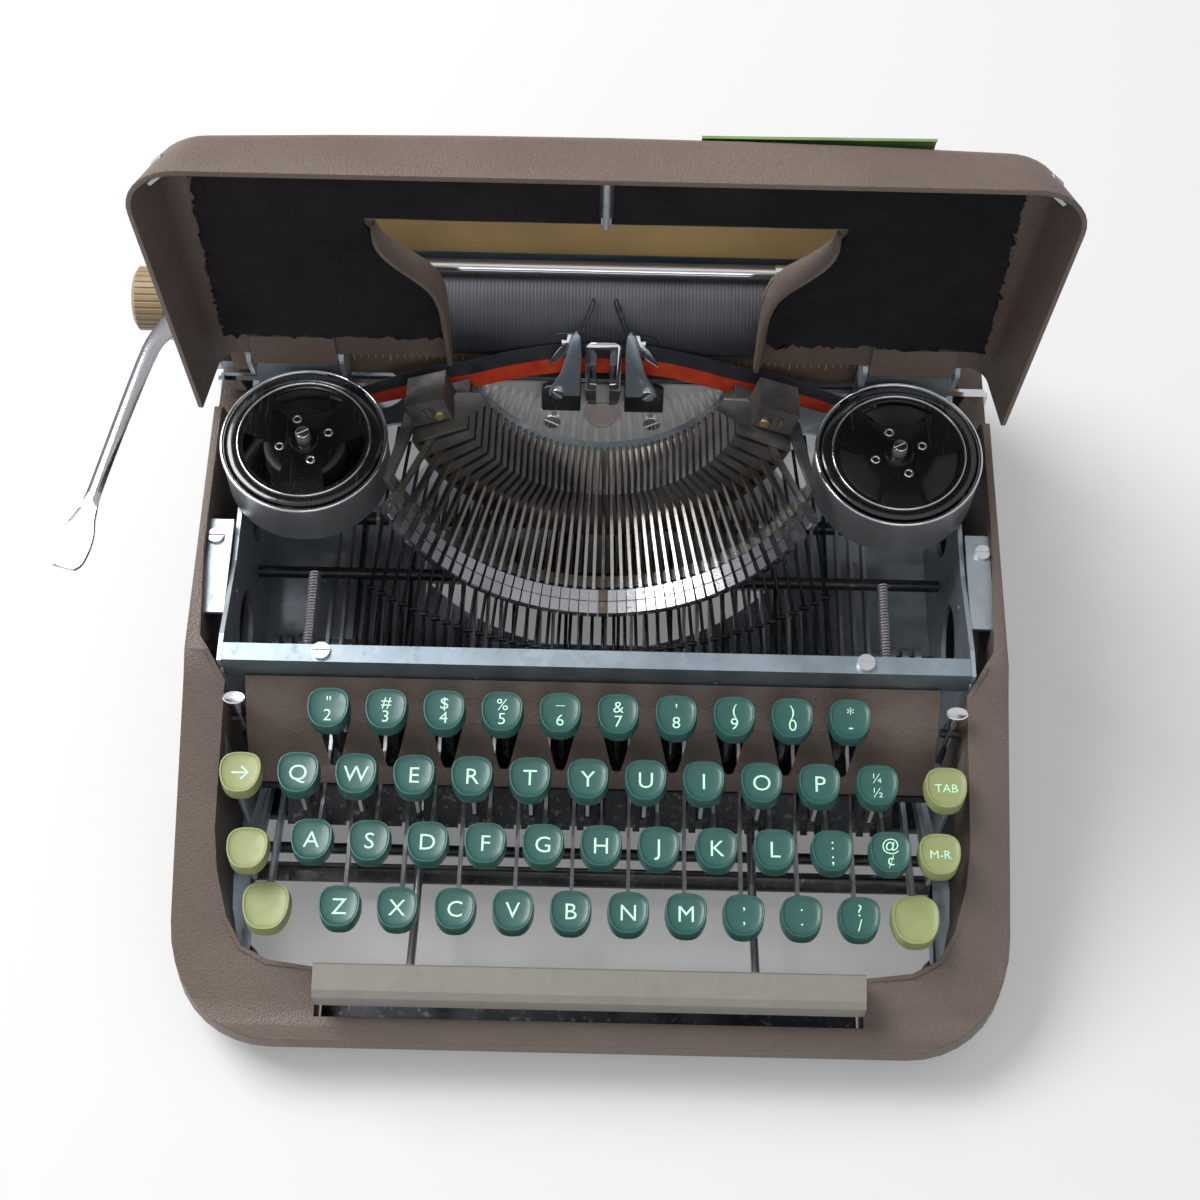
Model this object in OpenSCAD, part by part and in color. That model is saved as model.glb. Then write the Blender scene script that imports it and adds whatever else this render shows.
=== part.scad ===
// Portable flat-top typewriter, standing with its ribbon cover raised.
// X runs to the right, Y to the back and Z up, and every size is in millimetres.
// The drawing is laid out from the machine's middle line and its front edge, and
// on_origin() then moves it so that the middle of its footprint is the origin.

/* [Body] */
// Width of the body shell at its widest line
body_w = 284; // [280:1:288]
// Depth of the body shell from front to back
body_d = 286; // [284:1:290]
// Height of the rim that the closed cover rests above
rim_z = 90; // [88:0.5:90.5]
// Height of the lip in front of the space bar
lip_z = 26; // [24:0.5:27]
// Height of the low rear deck under the carriage
deck_z = 78; // [74:1:79]
// Thickness of the pressed shell
shell_t = 1.6; // [1.2:0.1:2]

/* [Cover] */
// Distance of the cover's hinge line from the front edge
hinge_y = 210; // [209.5:0.1:210.5]
// Height of the cover's hinge line
hinge_z = 118; // [117.5:0.1:118.5]
// Length of the cover from the hinge line to its front lip
cover_len = 113; // [110:0.5:113]
// Depth of the cover's side and front walls
cover_drop = 26; // [24:0.5:26]
// Angle between the closed and the raised cover
cover_open = 95.4; // [90:0.2:97]
// Thickness of the cover sheet
cover_t = 1.6; // [1.2:0.1:2]

/* [Keyboard] */
// Distance between neighbouring keys of a row
key_pitch = 19.05; // [18.9:0.05:19.05]
// Width of a character keytop
keytop_w = 14.6; // [13:0.1:15]
// Length of a character keytop
keytop_l = 14.2; // [13:0.1:15]
// Height of a keytop with its skirt
keytop_h = 5.4; // [4.5:0.1:6]
// Width of a shift keytop
shift_w = 16.7; // [15:0.1:17]
// Thickness of a key lever
lever_t = 1.2; // [1:0.1:1.4]
// Radius of the shaft that the key levers turn on
shaft_r = 2.5; // [2:0.1:3]
// Width of the space bar
space_w = 182; // [176:1:182]

/* [Type basket] */
// Number of typebars
bars = 42; // [42:1:42]
// Lean of the basket's axis away from the horizontal, in degrees
lean = 15; // [14:0.5:16]
// Distance of the print point from the front edge
print_y = 218; // [217.5:0.1:218.2]
// Height of the print point
print_z = 120; // [119.5:0.1:120.5]
// Radius of the segment's inner face
seg_r = 49.8; // [49:0.1:50.5]
// Radius of the segment's outer face
seg_outer = 70; // [69:0.5:71]
// Radius of the arc that the typebars' pivot wire follows
pivot_r = 53.5; // [53:0.1:54]
// Thickness of a typebar
bar_t = 1.1; // [0.9:0.05:1.2]
// Step of the sine of the fan angle from one typebar to the next
fan_step = 0.0446; // [0.044:0.0001:0.045]

/* [Ribbon] */
// Distance of each spool's axle from the middle line
spool_x = 101.5; // [101:0.1:102]
// Distance of the spools' axles from the front edge
spool_y = 186; // [185:0.5:187]
// Radius of a spool's flanges
spool_r = 26.4; // [25:0.1:26.6]
// Outer radius of a spool cup
cup_r = 28.4; // [28:0.1:28.6]
// Height of the floor under a spool cup
cup_z = 84; // [83:0.5:85]
// Height of a spool cup's wall
cup_h = 18.5; // [17:0.5:19]
// Width of the ribbon
ribbon_w = 12.7; // [12:0.1:13]

/* [Carriage] */
// Sideways place of the carriage, minus is to the left
carriage_x = -13.5; // [-14:0.5:-13]
// Radius of the platen
platen_r = 16; // [15.5:0.1:16]
// Length of the platen
platen_len = 240; // [236:1:240]
// Radius of a platen knob
knob_r = 11; // [10:0.5:12]

/* [Hidden] */

// The footprint's middle, measured from the middle line and the front edge
mid_x = -16.45;
mid_y = 143;
$fn = 48;

taupe = [0.43, 0.37, 0.34];
zinc = [0.72, 0.76, 0.78];
chrome = [0.82, 0.84, 0.86];
blued = [0.16, 0.17, 0.19];
key_green = [0.22, 0.41, 0.37];
key_olive = [0.66, 0.68, 0.44];
bakelite = [0.58, 0.47, 0.30];
black = [0.09, 0.09, 0.10];

// Levels of the body shell: height, half width, front, back, front and rear corner radius
body_levels = [
    [4, body_w / 2 - 4, 4, body_d - 3, 32, 22],
    [16, body_w / 2, 0, body_d, 36, 26],
    [50, body_w / 2 - 2.5, 0.6, body_d - 1, 35, 25],
    [rim_z + 1, body_w / 2 - 6, 1.5, body_d - 2, 34, 24]];
// Line of the shell's top edge from front to back
rim_line = [[-6, lip_z - 4], [1, lip_z - 2], [4, lip_z], [12, lip_z + 1], [32, 38],
    [104, 83], [112, rim_z], [207, rim_z], [209, deck_z], [292, deck_z]];
// Right half of the edge of the opening in the shell's top
well_edge = [[space_w / 2 + 0.8, 7.6], [space_w / 2 + 0.8, 22.5], [108, 24.4],
    [116.6, 28.4], [121.8, 37], [125, 50], [125.8, 62], [123, 104], [131.5, 117],
    [133.8, 150], [133.6, 206], [128, 214], [128, 276]];

// Key rows: distance of the first key from the middle line, key count, Y, top Z
row_number = [-87.7, 10, 93.5, 86];
row_q = [-97.2, 11, 75, 75];
row_a = [-92.4, 11, 56, 64];
row_z = [-82.9, 10, 37, 53];
h_index = 5;
fulcrum = [200, 26];
fit = 0.06;
// Pivot that the function keys and the shift frame turn on
side_pivot = [150, 16];
side_pivot_r = 2;
// Inner face of the right-hand side frame, and the screws in it as Y and Z
side_x = 123.8;
frame_screws = [[120, 60], [200, 74], [262, 60], [142, 75]];
foot_x = 123;
space_pivot = [100, 16];
space_arms = [-60, 55.5];

// Side views of the key levers, from the fulcrum to the keytop, as Y and Z
lever_number = [[200, 22], [200, 30], [107, 36.5], [98, 56], [98, 80.6], [92.5, 80.6],
    [92.5, 56], [101, 31]];
lever_q = [[200, 22], [200, 30], [100, 38], [79, 50], [78, 69.6], [72.2, 69.6],
    [72.2, 49], [98, 31]];
lever_a = [[200, 22], [200, 30], [100, 37], [76, 45], [59, 53], [58.7, 58.6],
    [53.3, 58.6], [53.3, 51], [74, 39.5], [98, 30.5]];
lever_z = [[200, 22], [200, 30], [100, 36], [70, 38], [40.5, 42], [39.7, 47.6],
    [34.3, 47.6], [34.3, 38], [70, 32], [98, 30]];

// The basket's depths are measured from the print point towards the typist
seg_front = 24.5;
seg_back = 0;
pivot_t = 3.5;
plate_front = -2;
type_face = 0.5;
slug_w = 3;
wire_r = 0.8;
bar_centre = (bars - 1) / 2;
fan_half = asin(fan_step * bar_centre);
// Turn of a typebar between the ribbon and its rest
swing = 116;
// Number of the H key's typebar, counted from the left
h_bar = 21;
// Slot in the segment that one typebar lies in
slot_shape = [[seg_r - 4, -1], [54.6, -1], [58.6, 1.6], [68, 20.6], [69, 25.5],
    [seg_r - 4, 25.5]];

platen_back = platen_r + 0.7;
platen_y = print_y + platen_back * cos(lean);
platen_z = print_z - platen_back * sin(lean);
axle_r = 4;
end_x = 122;

// Levels of the cover below its top: depth, rear half width, front half width,
// front edge, corner radius
cover_levels = [
    [0, 124, 129, cover_len - 9, 10],
    [3, 128.5, 135, cover_len - 5.5, 13],
    [9, 131.2, 139, cover_len - 3, 15],
    [cover_drop, 134, 143.5, cover_len, 17]];
cover_back = 3.5;
// Right half of the edge of the cover's cut-out: distance from middle line and hinge
cut_edge = [[51, -1], [51.5, 36], [53.5, 44], [58, 50], [65, 56], [70, 61], [72.5, 66],
    [72.5, 69]];

function arc_points(cx, cy, r, from, to, steps) =
    [for (i = [0 : steps]) let (a = from + (to - from) * i / steps)
        [cx + r * cos(a), cy + r * sin(a)]];

function plan(level) =
    let (hw = level[1], y0 = level[2], y1 = level[3], rf = level[4], rr = level[5])
    concat(arc_points(hw - rf, y0 + rf, rf, -90, 0, 8),
        arc_points(hw - rr, y1 - rr, rr, 0, 90, 8),
        arc_points(rr - hw, y1 - rr, rr, 90, 180, 8),
        arc_points(rf - hw, y0 + rf, rf, 180, 270, 8));

function inset(level, t) =
    [level[0], level[1] - t, level[2] + t, level[3] - t, level[4] - t, level[5] - t];

function mirrored(half) =
    concat(half, [for (i = [len(half) - 1 : -1 : 0]) [-half[i][0], half[i][1]]]);

function key_x(row, i) = row[0] + key_pitch * i;
function bar_angle(i) = asin(fan_step * (i - bar_centre));
function joint_y(x) = 136 + 30 * pow(x / 92, 2);

module on_origin() {
    translate([-mid_x, -mid_y, 0]) children();
}

module both_sides() {
    children();
    mirror([1, 0, 0]) children();
}

// A sheet cut to an outline in the Y and Z plane, from x0 to x0 + t
module side_cut(points, x0, t) {
    translate([x0, 0, 0]) rotate([90, 0, 90]) linear_extrude(t) polygon(points);
}

module rod(from_x, to_x, y, z, r) {
    translate([from_x, y, z]) rotate([0, 90, 0]) cylinder(h = to_x - from_x, r = r);
}

// The print point's frame: its Y climbs the platen and its Z points at the typist
module at_print_point() {
    translate([0, print_y, print_z]) rotate([90 - lean, 0, 0]) children();
}

// A plate lying in one typebar's own plane, from an outline of radius and depth
module fan_plate(points, t) {
    rotate([90, 0, -90]) linear_extrude(t, center = true) polygon(points);
}

// Part of a ring around the basket's axis, from an outline of radius and depth
module fan_ring(points, half_angle) {
    rotate([0, 0, -90 - half_angle]) rotate_extrude(angle = 2 * half_angle, $fn = 96)
        polygon(points);
}

module body_stack(t, drop) {
    for (i = [0 : len(body_levels) - 2]) {
        hull() {
            slab(inset(body_levels[i], t), i == 0 ? -drop : 0);
            slab(inset(body_levels[i + 1], t), 0);
        }
    }
}

module slab(level, lower) {
    translate([0, 0, level[0] + lower]) linear_extrude(0.01) polygon(plan(level));
}

module under_rim(drop) {
    side_cut(concat([for (p = rim_line) [p[0], p[1] - drop]], [[292, -9], [-6, -9]]),
        -body_w / 2 - 1, body_w + 2);
}

module body_shell() color(taupe) on_origin() {
    difference() {
        intersection() {
            body_stack(0, 0);
            under_rim(0);
        }
        intersection() {
            body_stack(shell_t, 3);
            under_rim(shell_t);
        }
        translate([0, 0, lip_z - 12]) linear_extrude(rim_z) polygon(mirrored(well_edge));
    }
}

module side_frames() color(zinc) on_origin() {
    outline = [[81, 41], [94, 38], [112, 34], [112, 10.1], [272, 10.1], [272, 68],
        [232, 70], [212, 82], [150, 82], [118, 89.4], [108.2, 89.4], [108.2, 84],
        [92, 68], [81, 50]];
    both_sides() difference() {
        side_cut(outline, side_x, 1.5);
        rod(120, 128, 140, 50, 14);
        rod(120, 128, 240, 42, 16);
        rod(120, 128, 190, 54, 15);
        rod(120, 128, fulcrum[0], fulcrum[1], shaft_r);
        rod(120, 128, side_pivot[0], side_pivot[1], side_pivot_r);
        rod(120, 128, 170, 37.5, 2.2);
        for (p = frame_screws) {
            rod(120, 128, p[0], p[1], 1.1);
        }
    }
}

module front_cross_bar() color(zinc) on_origin() {
    difference() {
        side_cut([[108.2, 78], [109.7, 78], [109.7, 88.4], [114.5, 88.4], [114.5, 89.9],
            [108.2, 89.9]], -123.6, 247.2);
        for (x = [-91, 89]) {
            translate([x, 111.8, 80]) cylinder(h = 12, r = 1.6);
        }
        for (x = [-40, 0, 40]) {
            rod_y(x, 80.8, 107, 111, 1.2);
        }
    }
}

module rod_y(x, z, from_y, to_y, r) {
    translate([x, from_y, z]) rotate([-90, 0, 0]) cylinder(h = to_y - from_y, r = r);
}

module base_pan() color(zinc) on_origin() {
    pan_z = 8.5;
    difference() {
        union() {
            translate([0, 0, pan_z]) linear_extrude(1.5) polygon(mirrored([[118, 20],
                [134, 20], [134, 256], [118, 278]]));
            both_sides() side_cut([[20, 10], [256, 10], [256, 15], [20, 15]], 132.6, 1.4);
            side_cut([[276.6, 10], [278, 10], [278, 46], [276.6, 46]], -115, 230);
        }
        crescent(pan_z);
        translate([-118, 0, pan_z - 1]) cube([236, 108, 4]);
        for (x = [-80, 80]) {
            translate([x, 240, pan_z - 1]) cylinder(h = 4, r = 13);
        }
        rod_y(0, 28, 270, 282, 6);
    }
    side_cut([[60, 13], [66, 13], [66, 16.4], [64.6, 16.4], [64.6, 14.4], [60, 14.4]],
        -117.9, 235.8);
    both_sides() side_cut([[20, 10], [78, 10], [78, 18], [74, 22], [66.2, 22],
        [66.2, 14.4], [58, 12.9], [20, 12.9]], 118, 1.5);
    translate([-15, 27, 12]) cube([30, 1.5, 12]);
    translate([-15, 28.5, 12]) cube([30, 31.4, 1.4]);
}

// The half-moon opening under the type basket, where the floor shows through
module crescent(z) {
    difference() {
        translate([0, 245, z - 1]) cylinder(h = 4, r = 90, $fn = 96);
        translate([-100, 182, z - 2]) cube([200, 170, 6]);
    }
}

module chassis_screws() color(chrome) on_origin() {
    for (x = [-91, 89]) {
        translate([x, 111.8, 90]) slotted_head(3, 1.3, 1.5, 8);
    }
    both_sides() translate([131, 157, 85.6]) slotted_head(2.7, 1.3, 1.2, 1);
    both_sides() for (p = frame_screws) {
        translate([side_x + 1.6, p[0], p[1]]) rotate([0, 90, 0])
            slotted_head(2.6, 1.2, 1, 1);
    }
}

// A cheese-head screw with its driver slot, standing on z = 0 with its shank below
module slotted_head(r, h, shank, depth) {
    difference() {
        union() {
            cylinder(h = h, r = r);
            translate([0, 0, -depth]) cylinder(h = depth, r = shank);
        }
        translate([-r - 1, -0.4, h - 0.6]) cube([2 * r + 2, 0.8, 1]);
    }
}

module rubber_feet() color(black) on_origin() {
    both_sides() for (y = [34, 250]) {
        translate([foot_x, y, 0]) rotate_extrude()
            polygon([[0, 0], [6.2, 0], [7.4, 1.2], [6.4, 8.4], [0, 8.4]]);
    }
}

module shell_brackets() color(zinc) on_origin() {
    both_sides() {
        difference() {
            translate([125.5, 128, 84]) cube([8, 36, 1.5]);
            translate([131, 157, 82]) cylinder(h = 5, r = 1.2);
        }
        cover_hinge();
    }
}

// Two ears on a plate behind the spool cup, with the pin that carries the cover
module cover_hinge() {
    side_cut([[215.9, 84], [217.2, 84], [217.2, 116], [215.9, 116]], 88, 33);
    for (x = [88, 119.4]) {
        difference() {
            hinge_ear(x);
            rod(x - 1, x + 3, hinge_y, hinge_z, 1.5);
        }
    }
    rod(88, 121, hinge_y, hinge_z, 1.5);
    side_cut([[212, 80.6], [215.8, 80.6], [215.8, 82.4], [212, 82.4]], 88, 35.7);
    side_cut([[215.9, 80.6], [217.2, 80.6], [217.2, 83.9], [215.9, 83.9]], 88, 35.7);
}

module hinge_ear(x) {
    side_cut(concat([[215.8, 106], [215.8, 115]],
        arc_points(hinge_y, hinge_z, 3, 20, 200, 8), [[209, 108]]), x, 1.6);
}

// Profile of the bent plate behind the number row, as Y and Z
plate_line = [[108, 78.8], [97.6, 68.2], [83.2, 50], [82.2, 49.6], [96.6, 69.2], [107.4, 80]];

module number_plate() color(taupe) on_origin() {
    difference() {
        side_cut(plate_line, -117, 232);
        for (i = [0 : row_number[1] - 1]) {
            lever_slot(key_x(row_number, i));
        }
    }
    for (x = [-116.9, 113.7]) {
        side_cut([[107, 78.1], [97.4, 68.4], [84, 51.2], [107, 58]], x, 1.2);
    }
}

// A tear-drop slot down the plate for one number lever
module lever_slot(x) {
    translate([x, 0, 50]) linear_extrude(32) polygon(mirrored([[1.4, 86.6], [2.2, 88.4],
        [5.6, 97], [5.6, 100.5], [4.4, 102]]));
}

module key_comb() color(blued) on_origin() {
    difference() {
        side_cut([[84, 17.6], [84, 47.4], [82.4, 47.6], [70, 42], [70.4, 40.6],
            [82.6, 46], [82.6, 17.6]], -104, 206);
        for (row = [row_q, row_a, row_z], i = [0 : row[1] - 1]) {
            translate([key_x(row, i) - 1.2, 66, 22]) cube([2.4, 20, 28]);
        }
        for (x = space_arms) {
            translate([x - 2.6, 80, 15]) cube([5.2, 6, 5.6]);
        }
    }
    both_sides() side_cut([[84, 42.6], [84, 47.4], [82.6, 47.4], [82.6, 42.6]], 101, 22.7);
}

module cross_shafts() color(zinc) on_origin() {
    rod(-125.3, 125.3, fulcrum[0], fulcrum[1], shaft_r);
    rod(-125.3, 125.3, side_pivot[0], side_pivot[1], side_pivot_r);
    rod(-125.3, 125.3, 170, 37.5, 2.2);
    rod(-117.9, 117.9, 72.4, 13.5, 2);
    both_sides() rod(117, side_x, 100, 62, 1.5);
    rod_y(drum_spot[0], drum_spot[1], 255, 276.5, 1.5);
    rod_y(0, wheel_z, 247, 263.9, 1.5);
}

module spool_cups() color(black) on_origin() {
    both_sides() translate([spool_x, spool_y, cup_z]) difference() {
        union() {
            rotate_extrude($fn = 72) polygon([[0, 0], [cup_r, 0], [cup_r, cup_h - 1],
                [cup_r + 0.3, cup_h], [cup_r - 1, cup_h], [cup_r - 1.2, 1.2],
                [4, 1.2], [4, 2.6], [2.5, 2.6], [2.5, 22], [2.2, 22.6], [0, 22.6]]);
        }
        rotate([0, 0, 118]) translate([cup_r - 6, -8, 4]) cube([12, 16, 30]);
        translate([-3, -0.4, 22]) cube([6, 0.8, 2]);
    }
}

module card_holders() color(chrome) on_origin() at_print_point() both_sides() {
    difference() {
        translate([0, 0, 3.2]) linear_extrude(1) polygon(concat([[7.4, -21.5],
            [7.2, -3], [7.6, 4.6], [9.6, 5.6], [11.4, 3]],
            [[13.2, -6], [19.6, -16]], arc_points(16.6, -19, 3.4, 20, -90, 5)));
        translate([15.4, -18.6, 0]) cylinder(h = 6, r = 1.2);
    }
    translate([15.4, -18.6, 4.2]) slotted_head(2.2, 1, 1.1, 1);
    side_cut([[-22.3, 3.2], [-29, -7.6], [-30.2, -7.6], [-23.6, 3.2], [-22.4, 4.2],
        [-21.6, 4.2]], 13.6, 4);
    wire_finger();
}

// The looped wire finger that holds a card's edge against the platen
module wire_finger() {
    strut([8.4, 4, 3.7], [4.6, 11, -3.3], 0.6);
    translate([4.2, 12.1, -4.6]) rotate([-45, 0, 0]) rotate_extrude($fn = 24)
        translate([1.5, 0]) circle(r = 0.6, $fn = 16);
}

module carriage_rail() color(chrome) on_origin() {
    difference() {
        side_cut([[218.2, 84], [224, 84], [224, 86], [220, 86], [220, 90], [218.2, 90]],
            -136, 272);
        for (x = [-60, 0, 60]) {
            rod_y(x, 88, 216, 226, 1.2);
        }
    }
    both_sides() side_cut([[218.2, 83.9], [222, 83.9], [222, 70.5], [218.2, 78]], 121.6, 2.1);
    side_cut([[264, 70.1], [270, 70.1], [270, 76], [264, 76]], -122, 244);
    both_sides() side_cut([[262, 64], [272, 64], [272, 70], [262, 70]], 119.6, 4.1);
}

module bell() color(chrome) on_origin() {
    translate([70, 262, 30]) rotate([-90, 0, 0]) rotate_extrude($fn = 48)
        polygon([[0, 0], [16, 10], [18, 12.6], [16.8, 12.6], [14.6, 10.6], [0, 1.6]]);
    rod_y(70, 30, 263.7, 276.5, 1.6);
}

// A flat band swept through points; each is X, Y, Z of its middle and its lean
module band(stations, width, t) {
    function rim(s) = let (u = [0, sin(s[3]), cos(s[3])] * width / 2,
        n = [0, cos(s[3]), -sin(s[3])] * t / 2, c = [s[0], s[1], s[2]])
        [c - u - n, c + u - n, c + u + n, c - u + n];
    last = len(stations) - 1;
    points = [for (s = stations) each rim(s)];
    sides = [for (i = [0 : last - 1], k = [0 : 3]) each
        [[4 * i + k, 4 * i + (k + 1) % 4, 4 * i + 4 + (k + 1) % 4],
            [4 * i + k, 4 * i + 4 + (k + 1) % 4, 4 * i + 4 + k]]];
    ends = [[0, 2, 1], [0, 3, 2], [4 * last, 4 * last + 1, 4 * last + 2],
        [4 * last, 4 * last + 2, 4 * last + 3]];
    polyhedron(points, concat(sides, ends));
}

// The ribbon's path from the middle out to the right-hand cup, without its lean
ribbon_half = [[2, 216, 111.6], [9, 216, 111.6], [18, 215.8, 111], [36, 215.4, 108.8],
    [56, 214.9, 104.8], [69, 213.4, 100.6], [78, 210.4, 97.6], [85.2, 207.5, 96.4]];
function ribbon_lean(x) = lean * max(0, 1 - abs(x) / 60);
ribbon_path = concat(
    [for (i = [len(ribbon_half) - 1 : -1 : 0]) let (p = ribbon_half[i])
        [-p[0], p[1], p[2], ribbon_lean(p[0])]],
    [for (p = ribbon_half) [p[0], p[1], p[2], ribbon_lean(p[0])]]);

module ribbon() color([0.75, 0.16, 0.07]) on_origin() {
    band(ribbon_path, ribbon_w, 0.4);
}

// The two long springs that balance the type basket
spring_x = 96.5;
spring_y = 111.6;
spring_z = 84;
spring_r = 1.6;
spring_wire = 0.32;
spring_pitch = 1.1;
spring_curls = 30;
spring_tail = [4.4, 3.6];
function curl_point(i) = let (a = 360 * i / 8)
    [spring_r * cos(a), spring_pitch * i / 8, spring_r * sin(a)];
spring_steps = 8 * spring_curls;
spring_path = concat(
    [[spring_r, 0, spring_tail[0]], [spring_r, 0, spring_tail[0] - 2 * spring_wire]],
    [for (i = [0 : spring_steps]) curl_point(-i) + [0, spring_pitch * i / 4, 0]],
    [[spring_r, spring_pitch * spring_curls, 2 * spring_wire - spring_tail[1]],
        [spring_r, spring_pitch * spring_curls, -spring_tail[1]]]);
spring_gap = min([for (i = [10 : 40], k = [5 : 11])
    norm(spring_path[i] - spring_path[i + k])]) - 2 * spring_wire;
echo(least_gap_between_curls = spring_gap);

function unit(v) = v / norm(v);

// A round tube swept along points; no stretch may run along the guide direction
module tube(path, r, sides, guide) {
    last = len(path) - 1;
    function along(i) = unit(path[min(i + 1, last)] - path[max(i - 1, 0)]);
    function ring(i) = let (n = unit(cross(along(i), guide)), b = cross(along(i), n))
        [for (k = [0 : sides - 1]) let (a = 360 * k / sides)
            path[i] + r * (n * cos(a) + b * sin(a))];
    points = [for (i = [0 : last]) each ring(i)];
    walls = [for (i = [0 : last - 1], k = [0 : sides - 1]) let (m = (k + 1) % sides)
        each [[sides * i + k, sides * i + sides + m, sides * i + m],
            [sides * i + k, sides * i + sides + k, sides * i + sides + m]]];
    caps = [for (k = [1 : sides - 2]) each [[0, k, k + 1],
        [sides * last, sides * last + k + 1, sides * last + k]]];
    polyhedron(points, concat(walls, caps));
}

module shift_springs() color(blued) on_origin() {
    for (x = [-spring_x, spring_x]) {
        translate([x, spring_y, spring_z]) tube(spring_path, spring_wire, 6, [0, 1, 0]);
    }
}

link_pitch = 4;
function link_x(i) = (i - bar_centre) * link_pitch;

module sublevers() color(blued) on_origin() {
    for (i = [0 : bars - 1]) {
        difference() {
            sublever(link_x(i));
            rod(link_x(i) - 2, link_x(i) + 2, 116, 50, 1.5 + fit);
        }
    }
}

module sublever(x) {
    side_cut([[112, 40], [112, 57], [117, 60], [joint_y(x) - 1.2, 46.6],
        [joint_y(x) - 1.2, 42.4], [118, 39.4]], x - 0.6, 1.2);
}

module typebar_links() color(blued) on_origin() {
    for (i = [0 : bars - 1]) {
        link(link_x(i), bar_angle(i));
    }
}

// One link from its joint on the sublever to the heel of its typebar
module link(x, a) {
    foot = [x, joint_y(x) + 1.4, 43.2];
    top = [77 * sin(a), print_y - 77 * sin(lean) * cos(a) - 12 * cos(lean),
        print_z - 77 * cos(lean) * cos(a) + 12 * sin(lean)];
    strut(foot, top, 0.6);
    rod(x - 1.5, x + 1.5, foot[1], foot[2], 0.9);
}

module strut(from, to, r) {
    run = to - from;
    turn = atan2(run[1], run[0]);
    tip = acos(run[2] / norm(run));
    translate(from) rotate([0, tip, turn]) cylinder(h = norm(run), r = r, $fn = 16);
}

// Axle of the mainspring drum as X and Z, and height of the escapement wheel's axle
drum_spot = [-92, 30];
wheel_z = 73;

module mainspring_drum() color(chrome) on_origin() {
    translate([drum_spot[0], 256, drum_spot[1]]) rotate([-90, 0, 0]) rotate_extrude()
        polygon([[1.56, 0], [15.5, 0], [15.5, 1.2], [14.4, 1.2], [14.4, 10], [15.5, 10],
            [15.5, 11.2], [1.56, 11.2]]);
}

module escapement_wheel() color(chrome) on_origin() {
    translate([0, 248, wheel_z]) rotate([-90, 0, 0]) difference() {
        union() {
            linear_extrude(1.4) polygon([for (i = [0 : 47])
                let (r = i % 2 == 0 ? 9.4 : 7.8, a = 7.5 * i + (i % 2) * 2.5)
                [r * cos(a), r * sin(a)]]);
            cylinder(h = 11.4, r = 5);
            translate([0, 0, 9]) cylinder(h = 2.4, r = 6.8);
        }
        translate([0, 0, -1]) cylinder(h = 14, r = 1.56);
        for (a = [0 : 60 : 300]) {
            rotate([0, 0, a]) translate([6.3, 0, -1]) cylinder(h = 3, r = 0.9);
        }
    }
}

module segment() color(blued) on_origin() at_print_point() {
    difference() {
        fan_ring([[seg_r, seg_back], [seg_outer, seg_back], [seg_outer, seg_front],
            [seg_r, seg_front]], 68);
        for (i = [0 : bars - 1]) {
            rotate([0, 0, bar_angle(i)]) fan_plate(slot_shape, bar_t + 0.3);
        }
        fan_wire(fan_half + 1.6, wire_r + 0.05);
    }
    fan_wire(fan_half + 1.5, wire_r);
    both_sides() rotate([0, 0, 72]) {
        translate([-3.6, -seg_outer + 1, 4]) cube([9.2, 14, 15]);
        translate([1, -seg_outer + 7.5, 19]) slotted_head(2.2, 1, 1, 1);
    }
    fan_ring([[74.6, 40.4], [78.2, 42.1], [77.2, 44.6], [75.7, 44.6]], 70);
    both_sides() rotate([0, 0, 69]) fan_plate([[69, 18], [74.8, 40.5], [78, 42.2],
        [73, 12], [69, 8]], 1.6);
}

module fan_wire(half_angle, r) {
    rotate([0, 0, -90 - half_angle]) rotate_extrude(angle = 2 * half_angle, $fn = 96)
        translate([pivot_r, pivot_t]) circle(r = r, $fn = 20);
}

// The fluted half-moon plate behind the typebars, with its plain round badge
module segment_plate() color(chrome) on_origin() at_print_point() {
    difference() {
        translate([0, 0, plate_front - 1.4]) linear_extrude(1.4) polygon(concat(
            arc_points(0, 0, seg_r - 0.6, 205, 335, 32), [[30, -20.8], [19.4, -21],
            [19.2, -31], [12, -31], [11.6, -22], [-11.6, -22], [-12, -31], [-19.2, -31],
            [-19.4, -21], [-30, -20.8]]));
        for (x = [-19, 19]) {
            translate([x, -36, -8]) cylinder(h = 12, r = 1.5);
        }
        for (a = [-63 : 7 : 63]) {
            rotate([0, 0, a]) translate([0, -seg_r + 8.6, plate_front + 1.2])
                rotate([90, 0, 0]) cylinder(h = 9, r = 1.7, center = true, $fn = 24);
        }
    }
    translate([0, -35.4, plate_front]) cylinder(h = 0.7, r1 = 5.6, r2 = 5);
    for (x = [-19, 19]) {
        translate([x, -36, plate_front]) slotted_head(2.5, 0.8, 1.5, 1.4);
    }
}

// One typebar in the pose where its type meets the ribbon
module struck_typebar() {
    difference() {
        rotate([90, 0, -90]) linear_extrude(bar_t, center = true) polygon([
            [pivot_r + 3, pivot_t - 2.4], [pivot_r + 3.4, pivot_t + 1.4],
            [pivot_r - 4, pivot_t + 1.7], [8, pivot_t + 1.2], [3, pivot_t + 1.3],
            [3, pivot_t - 1.3], [8, pivot_t - 1.2], [pivot_r - 4, pivot_t - 1.5]]);
        rod(-2, 2, -pivot_r, pivot_t, wire_r + 0.15);
    }
    difference() {
        side_cut([[-4.7, type_face + 0.6], [-4.2, type_face], [4.2, type_face],
            [4.7, type_face + 0.6], [4.7, 3.4], [2.6, 5], [-3.4, 5], [-4.7, 3.8]],
            -slug_w / 2, slug_w);
        side_cut([[-0.5, type_face - 1], [0.5, type_face - 1], [0.2, type_face + 0.7],
            [-0.2, type_face + 0.7]], -2, 4);
    }
}

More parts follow.
